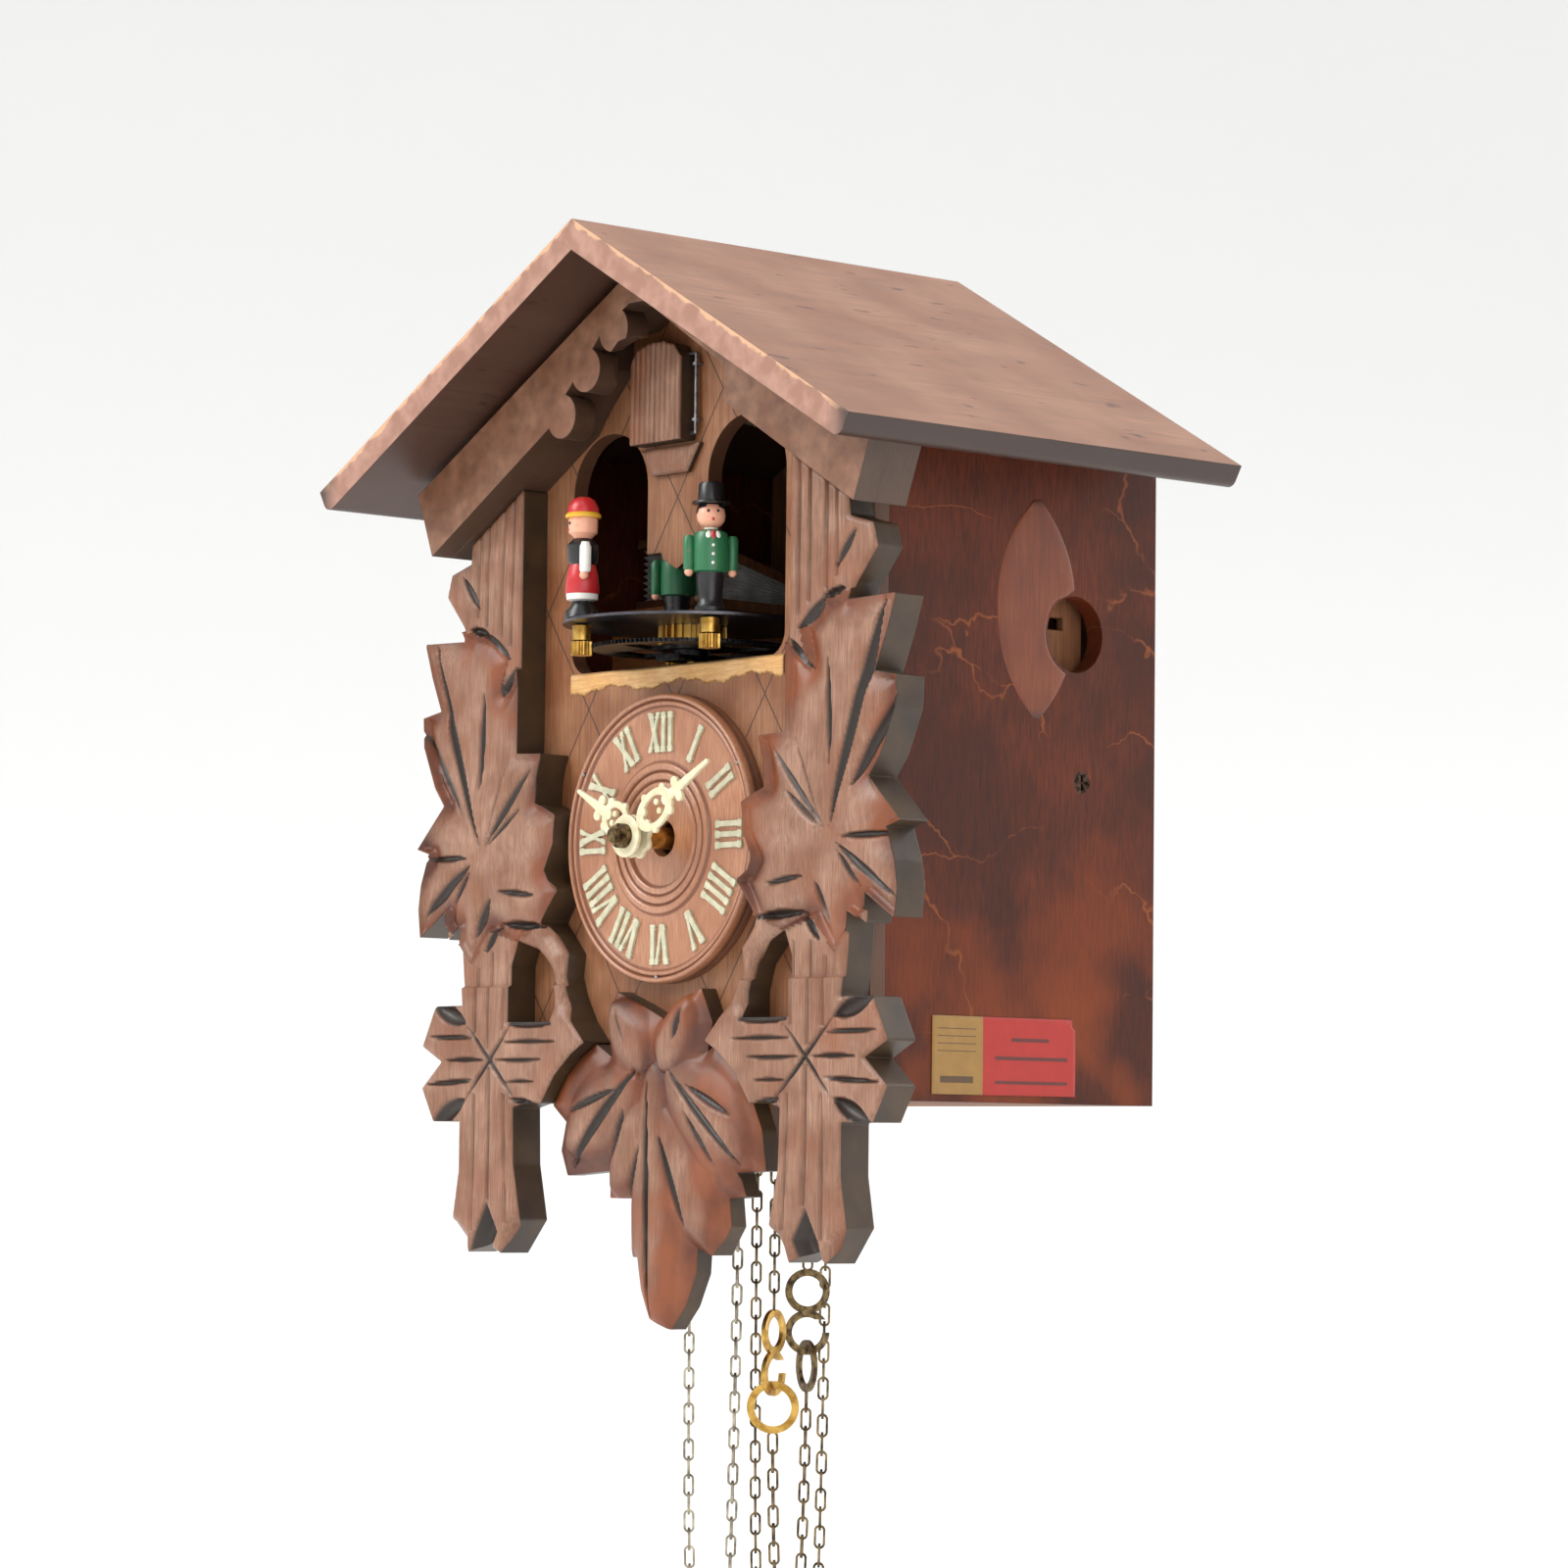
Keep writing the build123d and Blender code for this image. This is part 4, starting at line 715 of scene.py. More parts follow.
def post_front(x, z, distance):
    """Front of the post: a leaf domed towards its rims and ridged along its lobes, a flat reeded
    pillar, and a cross, foot and knot cut back in facets."""
    leaf = np.maximum(outline_distance(x, z, leaf_edge), distance - 0.4)
    on_leaf = np.clip(-leaf / 2, 0, 1)
    centre = np.hypot(x - 75, z)
    around = np.arctan2(z, x - 75)
    roll = 0.5 + 0.5 * np.cos(around * 7 + 0.6)
    edge = np.clip(1 + leaf / 9, 0, 1)
    spread = np.clip(centre / 22, 0, 1)
    dome = 2.6 * edge ** 2 + 1.2 * roll * spread * on_leaf + 1.0 * np.exp(-(centre / 6) ** 2)
    veins = gouge_cut(x, z, leaf_veins)
    plain = gouge_cut(x, z, reeds, 0) + 0.9 * np.clip(1 + distance / 1.4, 0, 1) ** 2
    crossing = gouge_cut(x, z, cross_cuts)
    facet = gouge_cut(x, z, facets)
    cleft = np.clip(-outline_distance(x, z, notch) * 1.4, 0, 4.5)
    hoof = sum(np.clip(-outline_distance(x, z, h) * 0.9, 0, 4.5) for h in hooves)
    arm_slope = 2.4 * np.clip((56 - x) / 10, 0, 1) * np.clip((-22 - z) / 4, 0, 1)
    arm_slope = arm_slope * np.clip((z + 50) / 4, 0, 1) * np.clip(1 + distance / 5, 0, 1)
    flat = np.maximum.reduce([plain, crossing, facet, cleft, hoof]) + arm_slope
    y = 0.3 + np.where(leaf < 0, np.maximum(dome * on_leaf, 0) + veins + 0.2,
                       1.2 * (z > -40) + flat + veins * 0.8)
    cut = np.maximum.reduce([veins * 0.55, crossing * 0.6, facet * 0.5, cleft * 0.5,
                             np.where(leaf < 0, 0, plain * 0.28)])
    hollow = np.where(leaf < 0, 0.75 * edge ** 1.3 * roll + 0.25 * edge,
                      0.05 + 0.4 * np.clip(hoof / 3, 0, 1))
    return np.minimum(y, 9), cut, hollow


right_post = relief("vine_post_right", post_distance, (24, 106, -117, 103), 0.62, post_front, 11, carved)
left_post = relief("vine_post_left", lambda x, z: post_distance(-x, z), (-106, -24, -117, 103), 0.62,
                   lambda x, z, d: post_front(-x, z, d), 11, carved)
for post, side_name in ((right_post, "right"), (left_post, "left")):
    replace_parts(post, "carved_post_" + side_name)
    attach(post, "case")

# Bottom leaf. One large vine leaf in the same lime, glued between the posts' arms, with
# deep gouged veins from its stem and its lobes rolled back at the rim.
leaf_outline = [(-45, -73.4), (-39, -65.4), (-31.5, -59.4), (-26, -56.4), (-19, -60), (-20.5, -54),
                (-20.5, -48), (-17, -42), (-7, -45.5), (4, -50), (10, -45), (19, -41.5), (24, -51),
                (22, -59), (26, -56.4), (31.5, -59.4), (39, -65.4), (41, -72), (45, -80), (47, -91),
                (36, -91.5), (39, -98), (32, -98.5), (33, -106), (27, -114), (19, -112), (18.5, -119),
                (14, -128), (8, -134.5), (1, -131.5), (-3, -124), (-5, -115), (-8.5, -115), (-9, -99),
                (-19, -99), (-19, -91.5), (-38, -93), (-41, -86), (-39, -78)]
bottom_veins = [(-36, -75.4, -11.5, -68.6, 3, 1.6), (-34.3, -91, -4, -62.7, 4, 2.2),
                (-15.1, -89.6, -8.9, -73.8, 3, 1.6), (-9.6, -105.6, -1.7, -83.3, 2.6, 1.4),
                (2.6, -131, 0.6, -65.3, 2.8, 2.2), (17.5, -107, 5.6, -81.2, 4, 2.2),
                (8.1, -62.8, 40.5, -90.1, 3, 1.8), (17.1, -75, 29.6, -90.2, 2.6, 1.5),
                (17.5, -67.9, 36, -76.3, 2.8, 1.5), (-8.3, -57, -14, -46.7, 1.6, 0.8),
                (11.9, -55.7, 14.6, -47, 3, 1.6)]
lobes = [(-30, -82, -4, -66, 13), (2, -128, 2, -62, 12), (36, -86, 8, -64, 13), (-14, -48, -2, -64, 9),
         (14, -47, 6, -64, 9), (-12, -95, -2, -72, 9), (24, -108, 6, -74, 10)]


def leaf_front(x, z, distance):
    """Front of the bottom leaf: round ridges along each lobe from the stem, less the veins."""
    ridge = np.zeros(x.shape)
    for ax, az, bx, bz, wide in lobes:
        ridge = np.maximum(ridge, gouge_cut(x, z, [(ax + (ax - bx) * 0.2, az + (az - bz) * 0.2, bx, bz,
                                                    wide * 2, 2.6)], 0.5))
    edge = np.clip(1 + distance / 6, 0, 1)
    veins = gouge_cut(x, z, bottom_veins)
    y = 1.0 + 2.6 - ridge + 2.2 * edge ** 2 + veins
    return np.clip(y, 0.6, 9), veins * 0.55, np.clip(1.05 - ridge / 2.3, 0, 1) * 0.75 + 0.35 * edge + 0.12


def leaf_distance(x, z):
    """The bottom leaf's outline."""
    return outline_distance(x, z, leaf_outline)


bottom_leaf = relief("vine_leaf_bottom", leaf_distance, (-46, 48, -136, -40), 0.6, leaf_front, 11, carved)
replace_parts(bottom_leaf, "carved_leaf")
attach(bottom_leaf, "case")
gable, tree, shader, colour = stained_wood("stained_gable_boards", "#4E2C1A", "#764A31", "#8E664E",
                                           (5, 0.6, 5), 16, 0.45, 0.15)
facing = add(tree, "SeparateXYZ", {0: add(tree, "TexCoord", out="Normal")}, out=None)
# Painted shade: faces of the bargeboards and backing that do not face the front, their undersides and
# edges, are darkened.
edge_shade = add(tree, "MapRange", {0: facing.outputs[1], 1: -0.7, 2: -0.3})
repaint(tree, shader, lay_tone(tree, colour, "#33261C", edge_shade, 0.8))
finish_nodes(gable, "bargeboard_left", "bargeboard_right", "gable_backing")

# Dial. A turned lime disc, clear varnished: a double bead at the rim, a flat chapter
# ring, three beads round a shallow dish and a hole for the hand shafts; three fine pins.
def spin(rows, at=(0, 0, 0), lying=False, count=48):
    """Points and faces of a closed turned shape: (radius, height) rows carried round an axis,
    upright, or front to back when lying, with a flat cap over each end row."""
    rows = np.asarray(rows, float)
    around = np.linspace(0, 2 * math.pi, count, endpoint=False)
    a = np.outer(rows[:, 0], np.cos(around))
    b = np.outer(rows[:, 0], np.sin(around))
    h = np.repeat(rows[:, 1:2], count, 1)
    points = np.stack([a, h, b] if lying else [a, b, h], 2).reshape(-1, 3) + at
    faces = quads(len(rows), count, wrap_columns=True).tolist()
    faces = [list(range(count))[::-1]] + faces + [list(range(len(points) - count, len(points)))]
    return points, [f[::-1] for f in faces] if lying else faces


def ball_rows(radius, tall=1.0, count=9):
    """Rows of a ball, stretched upwards by tall, that end in tiny flats."""
    turn = np.linspace(-math.pi / 2 + 0.08, math.pi / 2 - 0.08, count)
    return np.stack([radius * np.cos(turn), radius * tall * np.sin(turn)], 1)


def dot(x, y, z, radius, tall=1.0):
    """A small ball."""
    return spin(ball_rows(radius, tall, 7), (x, y, z), count=14)


radius = np.linspace(5.0, 40.0, 176)
face_y = np.where(radius < 13.4, 7.5 - 0.03 * radius, 6.6)
for bead, half, proud in ((14.6, 1.1, 0.9), (17.1, 1.2, 1.0), (19.8, 1.25, 1.1), (37.3, 0.8, 0.8),
                          (39.1, 0.9, 1.3)):
    face_y = face_y - proud * np.sqrt(np.clip(1 - ((radius - bead) / half) ** 2, 0, 1))
rows = np.concatenate([[(5.0, 11.0)], np.stack([radius, face_y], 1),
                       [(40.0, 7.2), (40.0, 8.6), (39.7, 8.9), (40.0, 9.2), (40.0, 11.0)]])
around = 128
points, faces = spin(rows, lying=True, count=around)
faces = faces[1:-1] + [[i, (i + 1) % around, len(points) - around + (i + 1) % around,
                        len(points) - around + i] for i in range(around)]
dial = grid_object("turned_dial", place(points), faces, sharp=50)
# Clear varnish over lime stained light red-brown, with fine slanting grain.
varnished, tree, shader, colour = stained_wood("varnished_turned_lime", "#7E4A31", "#A46E4D", "#B98667",
                                               (0.45, 0.45, 5), 26, 0.32, 0.1)
mapping = [n for n in tree.nodes if n.type == "MAPPING"][0]
mapping.inputs["Rotation"].default_value = (0, math.radians(-38), 0)
spot = add(tree, "SeparateXYZ", {0: add(tree, "TexCoord", out="Object")}, out=None)
dx = add(tree, "Math", {0: spot.outputs[0], 1: float(ARBOR[0])}, operation="SUBTRACT")
dz = add(tree, "Math", {0: spot.outputs[2], 1: float(ARBOR[2])}, operation="SUBTRACT")
reach = add(tree, "CombineXYZ", {0: dx, 2: dz})
from_centre = add(tree, "VectorMath", {0: reach}, operation="LENGTH", out="Value")
for groove in (13.45, 15.9, 18.45, 21.2, 36.4, 38.15):
    off = add(tree, "Math", {0: from_centre, 1: groove * MM, 2: 0.42 * MM}, operation="COMPARE")
    colour = lay_tone(tree, colour, "#6E3A20", off, 0.7)
depth = spot.outputs[1]
rim_dark = add(tree, "MapRange", {0: depth, 1: float(place((0, 7.0, 0))[1]),
                                  2: float(place((0, 8.0, 0))[1])})
outermost = add(tree, "MapRange", {0: from_centre, 1: 39 * MM, 2: 39.8 * MM})
rim_dark = add(tree, "Math", {0: rim_dark, 1: outermost}, operation="MULTIPLY")
colour = lay_tone(tree, colour, "#5C3524", rim_dark, 0.8)
repaint(tree, shader, colour)
shader.inputs["Coat Weight"].default_value = 0.3
shader.inputs["Coat Roughness"].default_value = 0.25
dial.data.materials.append(varnished)
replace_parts(dial, "dial")
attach(dial, "case")


def joined(name, shapes, finish, sharp=40.0, colours=None):
    """One object from several shapes' points and faces, with a paint colour for each if given."""
    points, faces, paint, start = [], [], [], 0
    for i, (shape_points, shape_faces) in enumerate(shapes):
        points.append(np.asarray(shape_points))
        for face in shape_faces:
            faces.append([int(v) + start for v in face])
            if colours:
                paint += [linear(colours[i])] * len(face)
        start += len(shape_points)
    made = grid_object(name, place(np.concatenate(points)), faces, sharp=sharp)
    if colours:
        layer = made.data.attributes.new("paint", "FLOAT_COLOR", "CORNER")
        layer.data.foreach_set("color", np.asarray(paint, np.float32).ravel())
    made.data.materials.append(finish)
    return made


pins = [dot(38.2 * math.sin(math.radians(a)), 5.6, 38.2 * math.cos(math.radians(a)), 0.55)
        for a in (60, 180, 300)]
dial_pins = joined("dial_pins", pins, zinc)
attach(dial_pins, "case")


# Numerals. Roman figures moulded in pale green-cream plastic with scalloped ends, feet
# to the centre and glued on the chapter ring.
def slab(outline, front, back):
    """Points and faces of a flat piece: the outline at the front and again at the back."""
    outline = np.asarray(outline, float)
    count = len(outline)
    points = np.concatenate([np.c_[outline[:, 0], np.full(count, front), outline[:, 1]],
                             np.c_[outline[:, 0], np.full(count, back), outline[:, 1]]])
    walls = [[i, i + count, (i + 1) % count + count, (i + 1) % count] for i in range(count)]
    return points, [list(range(count)), list(range(2 * count - 1, count - 1, -1))] + walls


NUMERAL_TALL = 11.2
LETTERS = {"I": [(0, 0, 1.5)], "V": [(-1.3, -1.0, 1.7), (1.3, 1.0, 1.0)],
           "X": [(0, -1.7, 1.7), (0, 1.7, 1.0)]}
WIDE = {"I": 2.9, "V": 5.0, "X": 5.0}


def stroke(x, lean, wide):
    """Half-outline of one upright stroke with scalloped ends, mirrored and leant over."""
    half, tall = wide / 2, NUMERAL_TALL / 2
    side = [(half, -tall + 1.9), (half + 0.35, -tall + 1.3), (half + 0.1, -tall + 0.8),
            (half + 0.45, -tall + 0.3), (half * 0.4, -tall)]
    lower = side + [(-a, b) for a, b in side[::-1]]
    full = np.array(lower + [(-a, -b) for a, b in lower])
    full[:, 0] += x + lean * full[:, 1] / tall
    return full


shapes = []
for hour, word in enumerate(("I", "II", "III", "IIII", "V", "VI", "VII", "VIII", "IX", "X", "XI", "XII"),
                            start=1):
    at = -sum(WIDE[c] for c in word) / 2
    angle = math.radians(hour * 30)
    level = 0
    for letter in word:
        for x, lean, wide in LETTERS[letter]:
            x = at + WIDE[letter] / 2 + x * 0.85
            outline = stroke(x, lean, wide) + (0, 29.3)
            turned_x = outline[:, 0] * math.cos(angle) + outline[:, 1] * math.sin(angle)
            turned_z = outline[:, 1] * math.cos(angle) - outline[:, 0] * math.sin(angle)
            shapes.append(slab(np.stack([turned_x, turned_z], 1), 5.9 - 0.03 * (level % 2), 6.7))
            level += 1
        at += WIDE[letter]


def moulded(name, dark, light, roughness):
    """Moulded plastic: a faint mottle in colour and in its bump."""
    made, tree, shader = material(name, roughness, 0.0, Subsurface_Weight=0.05)
    shader.inputs["Subsurface Radius"].default_value = (MM, 0.8 * MM, 0.5 * MM)
    here = add(tree, "TexCoord", out="Object")
    mottle = add(tree, "TexNoise", {"Vector": here, "Scale": 1 / (2.5 * MM), "Detail": 4.0})
    tree.links.new(add(tree, "Mix", {0: add(tree, "MapRange", {0: mottle, 1: 0.35, 2: 0.7}), 6: light,
                                     7: dark}, data_type="RGBA", out=2), shader.inputs["Base Color"])
    soft = add(tree, "Bevel", {"Radius": 0.2 * MM}, samples=4)
    bump = add(tree, "Bump", {"Height": mottle, "Strength": 0.1, "Distance": 0.1 * MM, "Normal": soft})
    tree.links.new(bump, shader.inputs["Normal"])
    return made


numerals = joined("roman_numerals", shapes, moulded("moulded_cream_numerals", "#A9A68A", "#C5C1A6", 0.5),
                  sharp=30)
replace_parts(numerals, "dial_numerals")
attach(numerals, "case")


# Hands. Moulded ivory plastic, pierced with a scrolled loop and a leaf below a spear tip.
# The hour hand's pipe turns on the centre arbor, whose nut holds the minute hand.
def hand(name, long, angle, hub, front, scallop, body):
    """A pierced hand: hub ring, oval loop, three-lobed leaf and spear, turned from twelve."""
    angle = math.radians(angle)

    def distance(x, z):
        u, v = x * math.cos(angle) - z * math.sin(angle), x * math.sin(angle) + z * math.cos(angle)
        ring = np.hypot(u, v) - hub - scallop * np.cos(8 * np.arctan2(u, v))
        middle, tall, wide = 0.36 * long, 0.17 * long, 4.3
        oval = (np.hypot(u / wide, (v - middle) / tall) - 1) * wide
        parts = [ring, np.abs(oval) - 0.95]
        for cu, cv, r in ((3.6, 0.50, 1.25), (4.9, 0.30, 1.1), (2.3, 0.635, 1.45), (1.9, 0.24, 1.3),
                          (1.4, 0.40, 0.9)):
            parts.append(np.hypot(np.abs(u) - cu, v - cv * long) - r)
        share = np.clip((v / long - 0.5) / 0.5, 0, 1)
        stem = np.hypot(u, v - (0.5 + share * 0.5) * long) - (1.7 - 1.1 * share)
        solid = np.minimum.reduce(parts + [stem])
        return np.maximum(solid, 2.1 - np.hypot(u, v))

    def surface(x, z, away):
        edge = np.clip(1 + away / 0.5, 0, 1)
        return front + 0.3 * edge ** 2, edge * 0, edge

    reach = long + 2
    made = relief(name, distance, (-reach, reach, -9, reach), 0.26, surface, front + 1.2, ivory)
    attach(made, body)
    return made


ivory = moulded("moulded_ivory_hands", "#C9BD96", "#DED5B5", 0.38)
minute_low = (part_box("minute_hand")[0].y - ARBOR[1]) / MM
hour_low = (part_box("hour_hand")[0].y - ARBOR[1]) / MM
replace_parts(hand("minute_pointer", 39, 61, 5.9, minute_low, 0.0, "minute_works"), "minute_hand")
hour_pointer = hand("hour_pointer", 29, 298, 5.9, hour_low, 0.45, "hour_works")
pipe_rows = [(2.15, hour_low + 1.0), (3.0, hour_low + 1.0), (3.0, 27.0), (2.15, 27.0)]
hour_pipe = joined("hour_pipe", [spin(pipe_rows, lying=True)], polished_brass)
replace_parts(hour_pointer, "hour_hand")
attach(hour_pipe, "hour_works")
nut_bronze = worn_metal("bronzed_hand_nut", "#3E342A", "#8A7450", 0.45, 1.5)
finish_nodes(nut_bronze, "center_arbor", "hook_time", "ring_time")
finish_nodes(polished_brass, "bird_guide", "movement_frame", "music_movement", "music_cylinder",
             "chain_wheel_music", "chain_wheel_time", "chain_wheel_strike", "bird_rod", "hook_strike",
             "ring_strike")

# Bird door. A thick slip of lime combed with upright grooves and clipped at its corners,
# on a bent wire hinge; a tapered block sits on the front board below it.
door_low, door_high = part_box("bird_door")
door_x = ((door_low.x + door_high.x) / 2 - ARBOR[0]) / MM
door_half = (door_high.x - door_low.x) / 2 / MM
z0, z1 = (door_low.z - ARBOR[2]) / MM, (door_high.z - ARBOR[2]) / MM
door_outline = [(door_x - door_half, z0), (door_x + door_half, z0), (door_x + door_half, z1 - 5),
                (door_x + door_half - 3, z1 - 1.5), (door_x + 3, z1), (door_x - 3, z1),
                (door_x - door_half + 3, z1 - 1.5), (door_x - door_half, z1 - 5)]


def door_distance(x, z):
    """The door's outline."""
    return outline_distance(x, z, door_outline)


def door_front(x, z, distance):
    """Front of the door: ten upright reeds and a softened rim."""
    comb = np.abs(np.sin((x - door_x) * math.pi / 2.2)) ** 0.5
    edge = np.clip(1 + distance / 0.8, 0, 1)
    return 4.8 + 0.55 * (1 - comb) + 0.4 * edge ** 2, 0.42 * (1 - comb), np.full(x.shape, 0.1)


door_area = (door_x - door_half - 1, door_x + door_half + 1, z0 - 1, z1 + 1)
combed_door = relief("combed_door", door_distance, door_area, 0.24, door_front, 10.6, carved)
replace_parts(combed_door, "bird_door")
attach(combed_door, "door")
block_outline = [(-15, 109.2), (11, 109.2), (5.8, 101.4), (-9.4, 101.4)]


def block_front(x, z, distance):
    """Front of the block: flat, with a softened rim."""
    return 8.8 + 0.8 * np.clip(1 + distance / 1.2, 0, 1) ** 2, distance * 0, distance * 0 + 0.1


door_step = relief("door_step_block", lambda x, z: outline_distance(x, z, block_outline),
                   (-16, 12, 100, 110), 0.4, block_front, 11, carved)
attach(door_step, "case")
staples = []
for z in (115.5, 131):
    staples.append(spin([(0.35, 9.6), (0.35, 11.2)], (10.2, 0, z), lying=True, count=10))
    staples.append(spin([(0.35, 9.6), (0.35, 11.2)], (8.2, 0, z), lying=True, count=10))
    staples.append(spin([(0.75, z - 0.4), (1.15, z - 0.4), (1.15, z + 0.4), (0.75, z + 0.4)], (9.2, 9.4, 0),
                        count=16))
hinge_staples = joined("hinge_staples", staples, zinc)
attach(hinge_staples, "case")
feather, tree, shader, colour = stained_wood("painted_bird", "#4A3A2E", "#6E5340", "#8A6E52",
                                             (2, 2, 2), 6, 0.5)
tip = add(tree, "SeparateXYZ", {0: add(tree, "TexCoord", out="Object")}, out=1)
beak_y = float(place((0, 33.9, 0))[1])
beak = add(tree, "Math", {0: tip, 1: beak_y}, operation="LESS_THAN")
repaint(tree, shader, add(tree, "Mix", {0: beak, 6: colour, 7: "#D8A03A"}, data_type="RGBA", out=2))
finish_nodes(feather, "cuckoo_bird")

# Stage. A thin steel disc on a ribbed brass drum turns over a fixed black toothed wheel;
# each dancer's brass pinion rolls round that wheel, so the dancers spin as they pass.
disc_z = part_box("turntable")[1].z - 0.0009
stage_metal, tree, shader = material("blued_steel_and_brass", 0.34, 1.0)
spot = add(tree, "TexCoord", out="Object")
tone = add(tree, "TexNoise", {"Vector": spot, "Scale": 1 / (4 * MM), "Detail": 3.0})
steel = add(tree, "Mix", {0: tone, 6: "#3A3A40", 7: "#6E6C72"}, data_type="RGBA", out=2)
brassy = add(tree, "Mix", {0: tone, 6: "#9A7434", 7: "#D0A85A"}, data_type="RGBA", out=2)
high_up = add(tree, "Math", {0: add(tree, "SeparateXYZ", {0: spot}, out=2), 1: disc_z},
              operation="GREATER_THAN")
repaint(tree, shader, add(tree, "Mix", {0: high_up, 6: brassy, 7: steel}, data_type="RGBA", out=2))
finish_nodes(stage_metal, "turntable")
black_steel = worn_metal("blackened_steel", "#17171A", "#3A3838", 0.42, 2.0)
finish_nodes(black_steel, "stage_bracket", "ring_gear", "gong")

# Dancers. Turned birch figures painted in gloss colours: two men in green jackets and
# hats, two women in red skirts; arms are separate dowels glued to the sides.
gloss, tree, shader = material("gloss_paint_on_birch", 0.3)
paint = add(tree, "Attribute", attribute_name="paint", out="Color")
here = add(tree, "TexCoord", out="Object")
brushed = add(tree, "TexNoise", {"Vector": here, "Scale": 1 / (1.6 * MM), "Detail": 4.0})
worn = lay_tone(tree, paint, "#8A6A4E", add(tree, "MapRange", {0: brushed, 1: 0.62, 2: 0.72}), 0.35)
repaint(tree, shader, worn)
bump = add(tree, "Bump", {"Height": brushed, "Strength": 0.15, "Distance": 0.1 * MM})
tree.links.new(bump, shader.inputs["Normal"])
SKIN, BLACK, RED, GREEN, WHITE, YELLOW = "#E3A488", "#1A1A1C", "#B8252A", "#2A6B45", "#E8E4DC", "#D9A62E"
STAGE_Y, DANCER_R, FIRST = 17.0, 31.0, -31.3
TOP = 60.0


def man_parts():
    """Shapes and colours of a man, standing at the origin and facing -y."""
    parts = [(spin([(4.2, 0.3), (4.3, 1.4), (3.6, 2.4), (3.3, 4), (3.6, 8), (4.0, 10.8)]), BLACK),
             (spin([(4.0, 10.8), (4.9, 11.2), (5.0, 16), (5.0, 20), (4.4, 21.8), (2.6, 22.6)]), GREEN),
             (spin([(1.9, 22.2), (1.9, 23.4)]), WHITE), (spin(ball_rows(4.0), (0, 0, 26.6)), SKIN),
             (spin(ball_rows(4.05), (0, 0.5, 27.2)), BLACK),
             (spin([(5.1, 29.6), (5.3, 29.9), (5.1, 30.3), (3.7, 30.5), (3.5, 34.8), (3.1, 35.5)]), BLACK)]
    for side in (-1, 1):
        parts.append((spin([(1.2, 11.4), (1.5, 11.8), (1.6, 19.8), (1.1, 21)], (side * 6.0, 0, 0),
                           count=20), GREEN))
        parts.append((dot(side * 6.0, -0.2, 11.0, 1.25), SKIN))
        parts.append((dot(side * 1.35, -3.75, 27.5, 0.42), BLACK))
        parts.append((dot(side * 1.2, -3.9, 20.4, 1.0, 1.6), WHITE))
    parts += [(dot(0, -4.75, z, 0.5), WHITE) for z in (13.2, 15.6, 18)]
    return parts + [(dot(0, -3.85, 25.2, 0.42), RED), (dot(0, -4.35, 20.4, 0.75, 2.4), RED)]


def woman_parts():
    """Shapes and colours of a woman, standing at the origin and facing -y."""
    parts = [(spin([(4.6, 0.3), (4.9, 0.8), (4.6, 2.4), (3.0, 4.4), (2.8, 5.4)]), BLACK),
             (spin([(2.8, 5.4), (4.3, 5.8), (4.5, 7.4)]), WHITE),
             (spin([(4.5, 7.4), (4.8, 8), (4.3, 13), (3.6, 15.5)]), RED),
             (spin([(3.6, 15.5), (4.2, 16.5), (4.4, 21), (2.6, 22.8)]), BLACK),
             (spin([(2.4, 22.8), (2.8, 23.4), (4.0, 24.4), (4.1, 28), (3.6, 29.6)]), SKIN),
             (spin([(4.9, 28.6), (5.0, 29.3), (4.6, 29.9), (4.2, 30.1)]), YELLOW),
             (spin([(4.4, 29.9), (4.3, 31.5), (3.2, 33.6), (1.6, 34.4), (0.3, 34.5)]), RED)]
    for side in (-1, 1):
        parts.append((spin([(1.3, 13), (1.6, 13.6), (1.6, 20), (1.1, 21.4)], (side * 5.6, 0, 0), count=20),
                      WHITE))
        parts.append((dot(side * 5.6, -0.3, 12.2, 1.3), SKIN))
        parts.append((dot(side * 1.35, -3.85, 27.0, 0.42), BLACK))
    return parts + [(dot(0, -3.95, 25.2, 0.42), RED)]


for number, dancer in enumerate(("man_front", "woman_back", "man_back", "woman_front")):
    angle = math.radians(FIRST + number * 90)
    x, y = DANCER_R * math.cos(angle), STAGE_Y + DANCER_R * math.sin(angle)
    facing = angle + math.pi / 2
    spun = np.array([(math.cos(facing), math.sin(facing), 0), (-math.sin(facing), math.cos(facing), 0),
                     (0, 0, 1)])
    parts = man_parts() if dancer.startswith("man") else woman_parts()
    shapes = [((points @ spun) + (x, y, TOP), faces) for (points, faces), _ in parts]
    figure = joined(dancer + "_figure", shapes, gloss, colours=[c for _, c in parts])
    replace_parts(figure, "dancer_" + dancer)
    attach(figure, dancer)
    ribs, faces = spin([(2.6, 50.4), (2.6, 54.2)], (0, 0, 0), count=48)
    push = np.where(np.arange(96) % 48 % 4 < 2, 1.17, 0.92)[:, None]
    ribs = ribs * np.c_[push, push, np.ones((96, 1))] @ spun + (x, y, 0)
    collar = spin([(1.3, 54.2), (2.6, 54.6), (2.7, 58.6), (2.0, 58.9)], (x, y, 0), count=32)
    pinion = joined(dancer + "_pinion", [(ribs, faces), collar], polished_brass, sharp=25)
    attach(pinion, dancer)
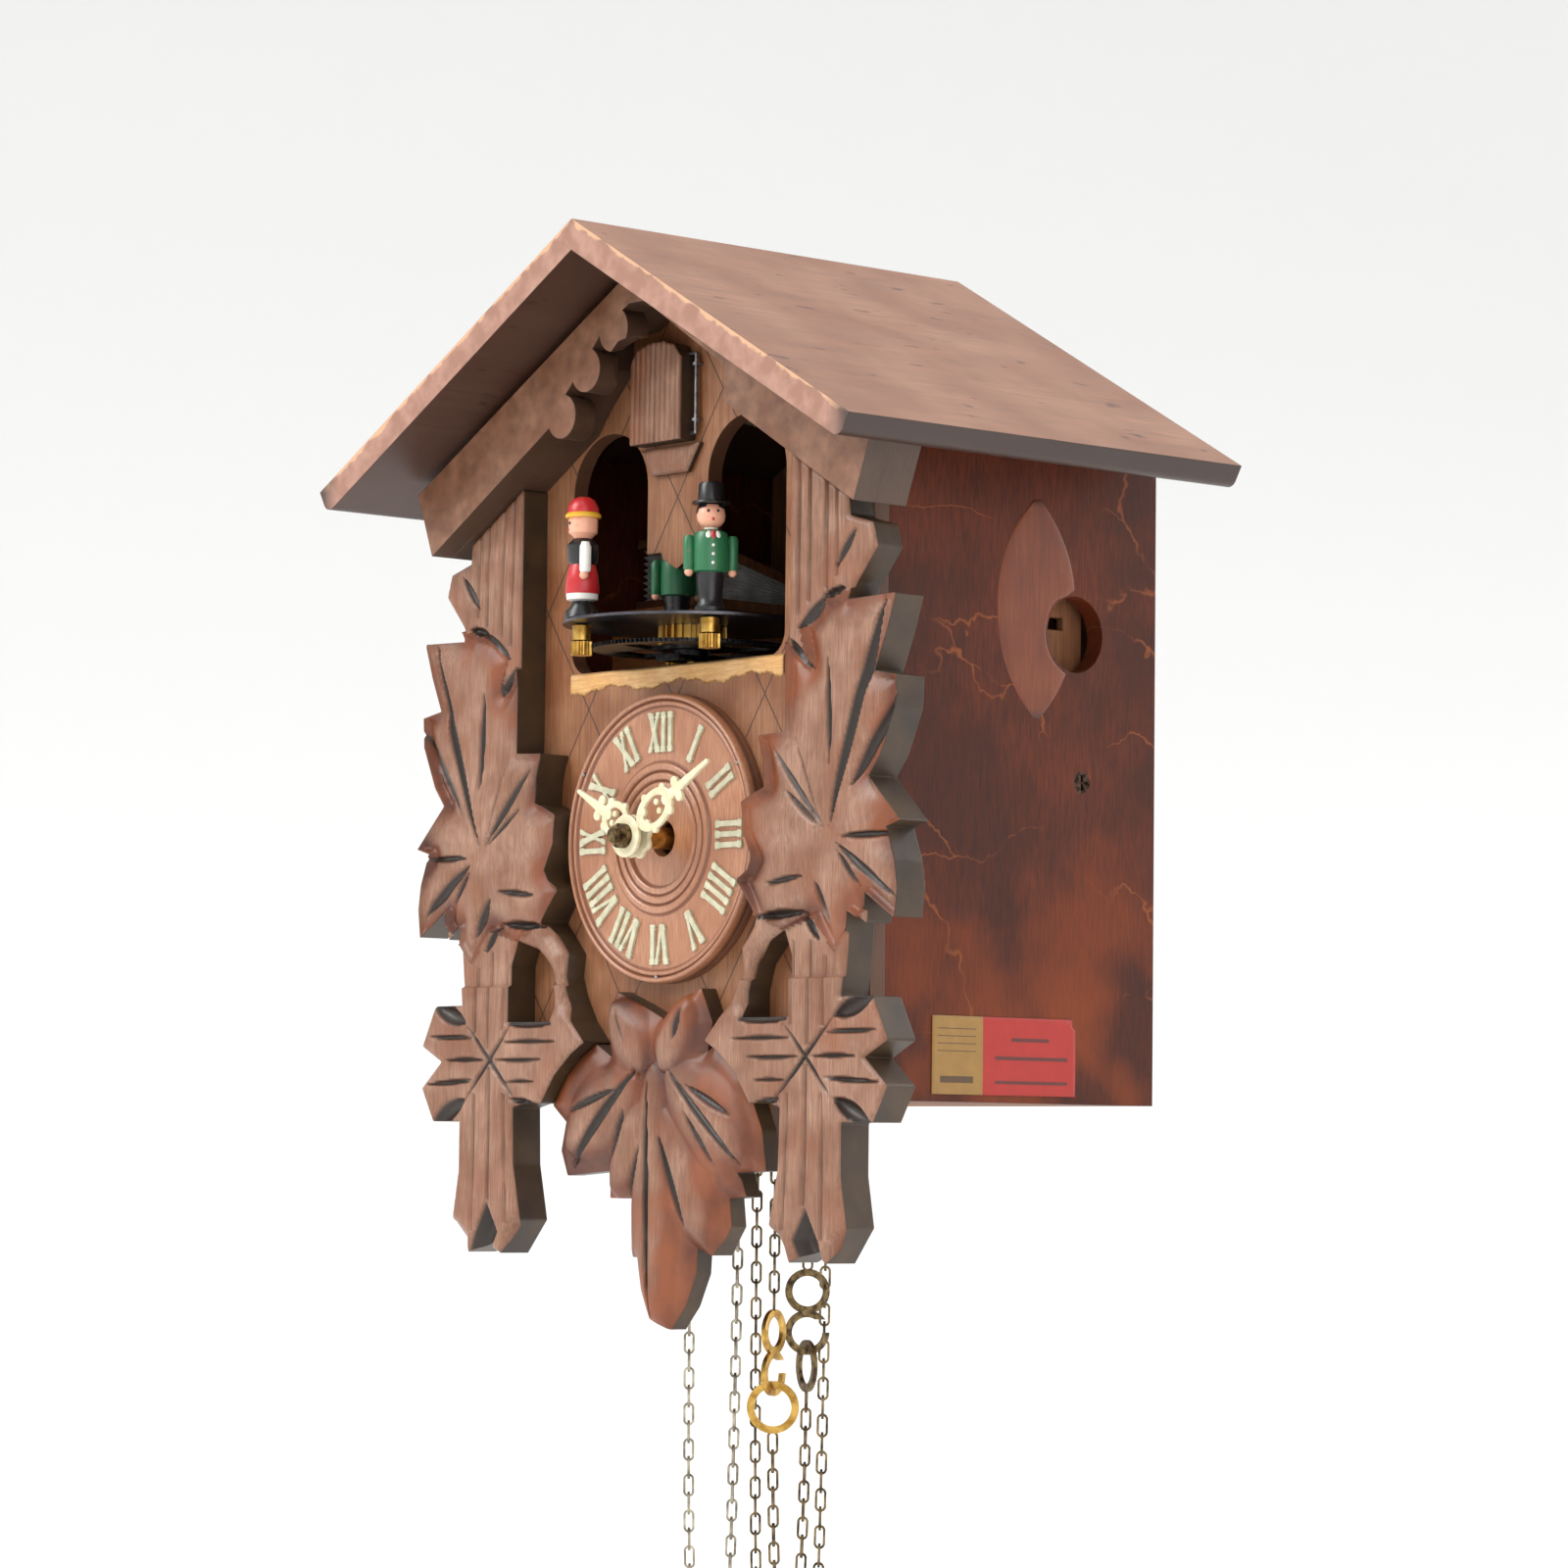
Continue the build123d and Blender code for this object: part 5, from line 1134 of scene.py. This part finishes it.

# Bellows. Grey cloth folded in small pleats between two boards; the upper board lifts on its rear
# edge, and the cloth is built as one fixed shape, opened like a fan.
cloth_finish, tree, shader = material("woven_bellows_cloth", 0.85, 0.0, Sheen_Weight=0.3)
here = add(tree, "TexCoord", out="Object")
thread = add(tree, "TexWave", {"Vector": here, "Scale": 1 / (2.4 * MM), "Distortion": 0.6},
             bands_direction="X", out=1)
soil = add(tree, "TexNoise", {"Vector": here, "Scale": 1 / (7 * MM), "Detail": 4.0})
repaint(tree, shader, add(tree, "Mix", {0: add(tree, "MapRange", {0: soil, 1: 0.35, 2: 0.7}), 6: "#C9C9C8",
                                        7: "#9A9894"}, data_type="RGBA", out=2))
bump = add(tree, "Bump", {"Height": thread, "Strength": 0.3, "Distance": 0.15 * MM})
tree.links.new(bump, shader.inputs["Normal"])
CLOTH_FRONT, CLOTH_REAR = 59.6, 101.0
BOARD_LOW, BOARD_REAR_TOP, BOARD_FRONT_TOP, BOARD_LONG = 75.05, 79.4, 90.3, 42.0
for side_name, sign in (("right", 1), ("left", -1)):
    corners = np.array([(50, CLOTH_FRONT), (74, CLOTH_FRONT), (74, CLOTH_REAR), (50, CLOTH_REAR)])
    edge_share = np.linspace(0, 4, 64, endpoint=False)
    wall_xy = np.stack([np.interp(edge_share, range(5), np.r_[corners[:, i], corners[0, i]])
                        for i in range(2)], 1)
    folds = np.linspace(0, 1, 17)
    pinch = 1 - 0.07 * (np.arange(17) % 2)
    middle_xy = corners.mean(0)
    xy = middle_xy + (wall_xy - middle_xy)[None] * pinch[:, None, None]
    high = BOARD_REAR_TOP + (CLOTH_REAR - xy[:, :, 1]) * (BOARD_FRONT_TOP - BOARD_REAR_TOP) / BOARD_LONG
    zz = BOARD_LOW + folds[:, None] * (high - BOARD_LOW)
    points = np.concatenate([xy * (sign, 1), zz[:, :, None]], 2).reshape(-1, 3)
    ends = [list(range(64))[::-1], list(range(16 * 64, 17 * 64))]
    faces = quads(17, 64, wrap_columns=True).tolist() + ends
    faces = faces if sign > 0 else [f[::-1] for f in faces]
    cloth = grid_object("pleated_cloth_" + side_name, place(points), faces, smooth=False)
    cloth.data.materials.append(cloth_finish)
    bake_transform(cloth)
    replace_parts(cloth, "bellows_cloth_" + side_name)
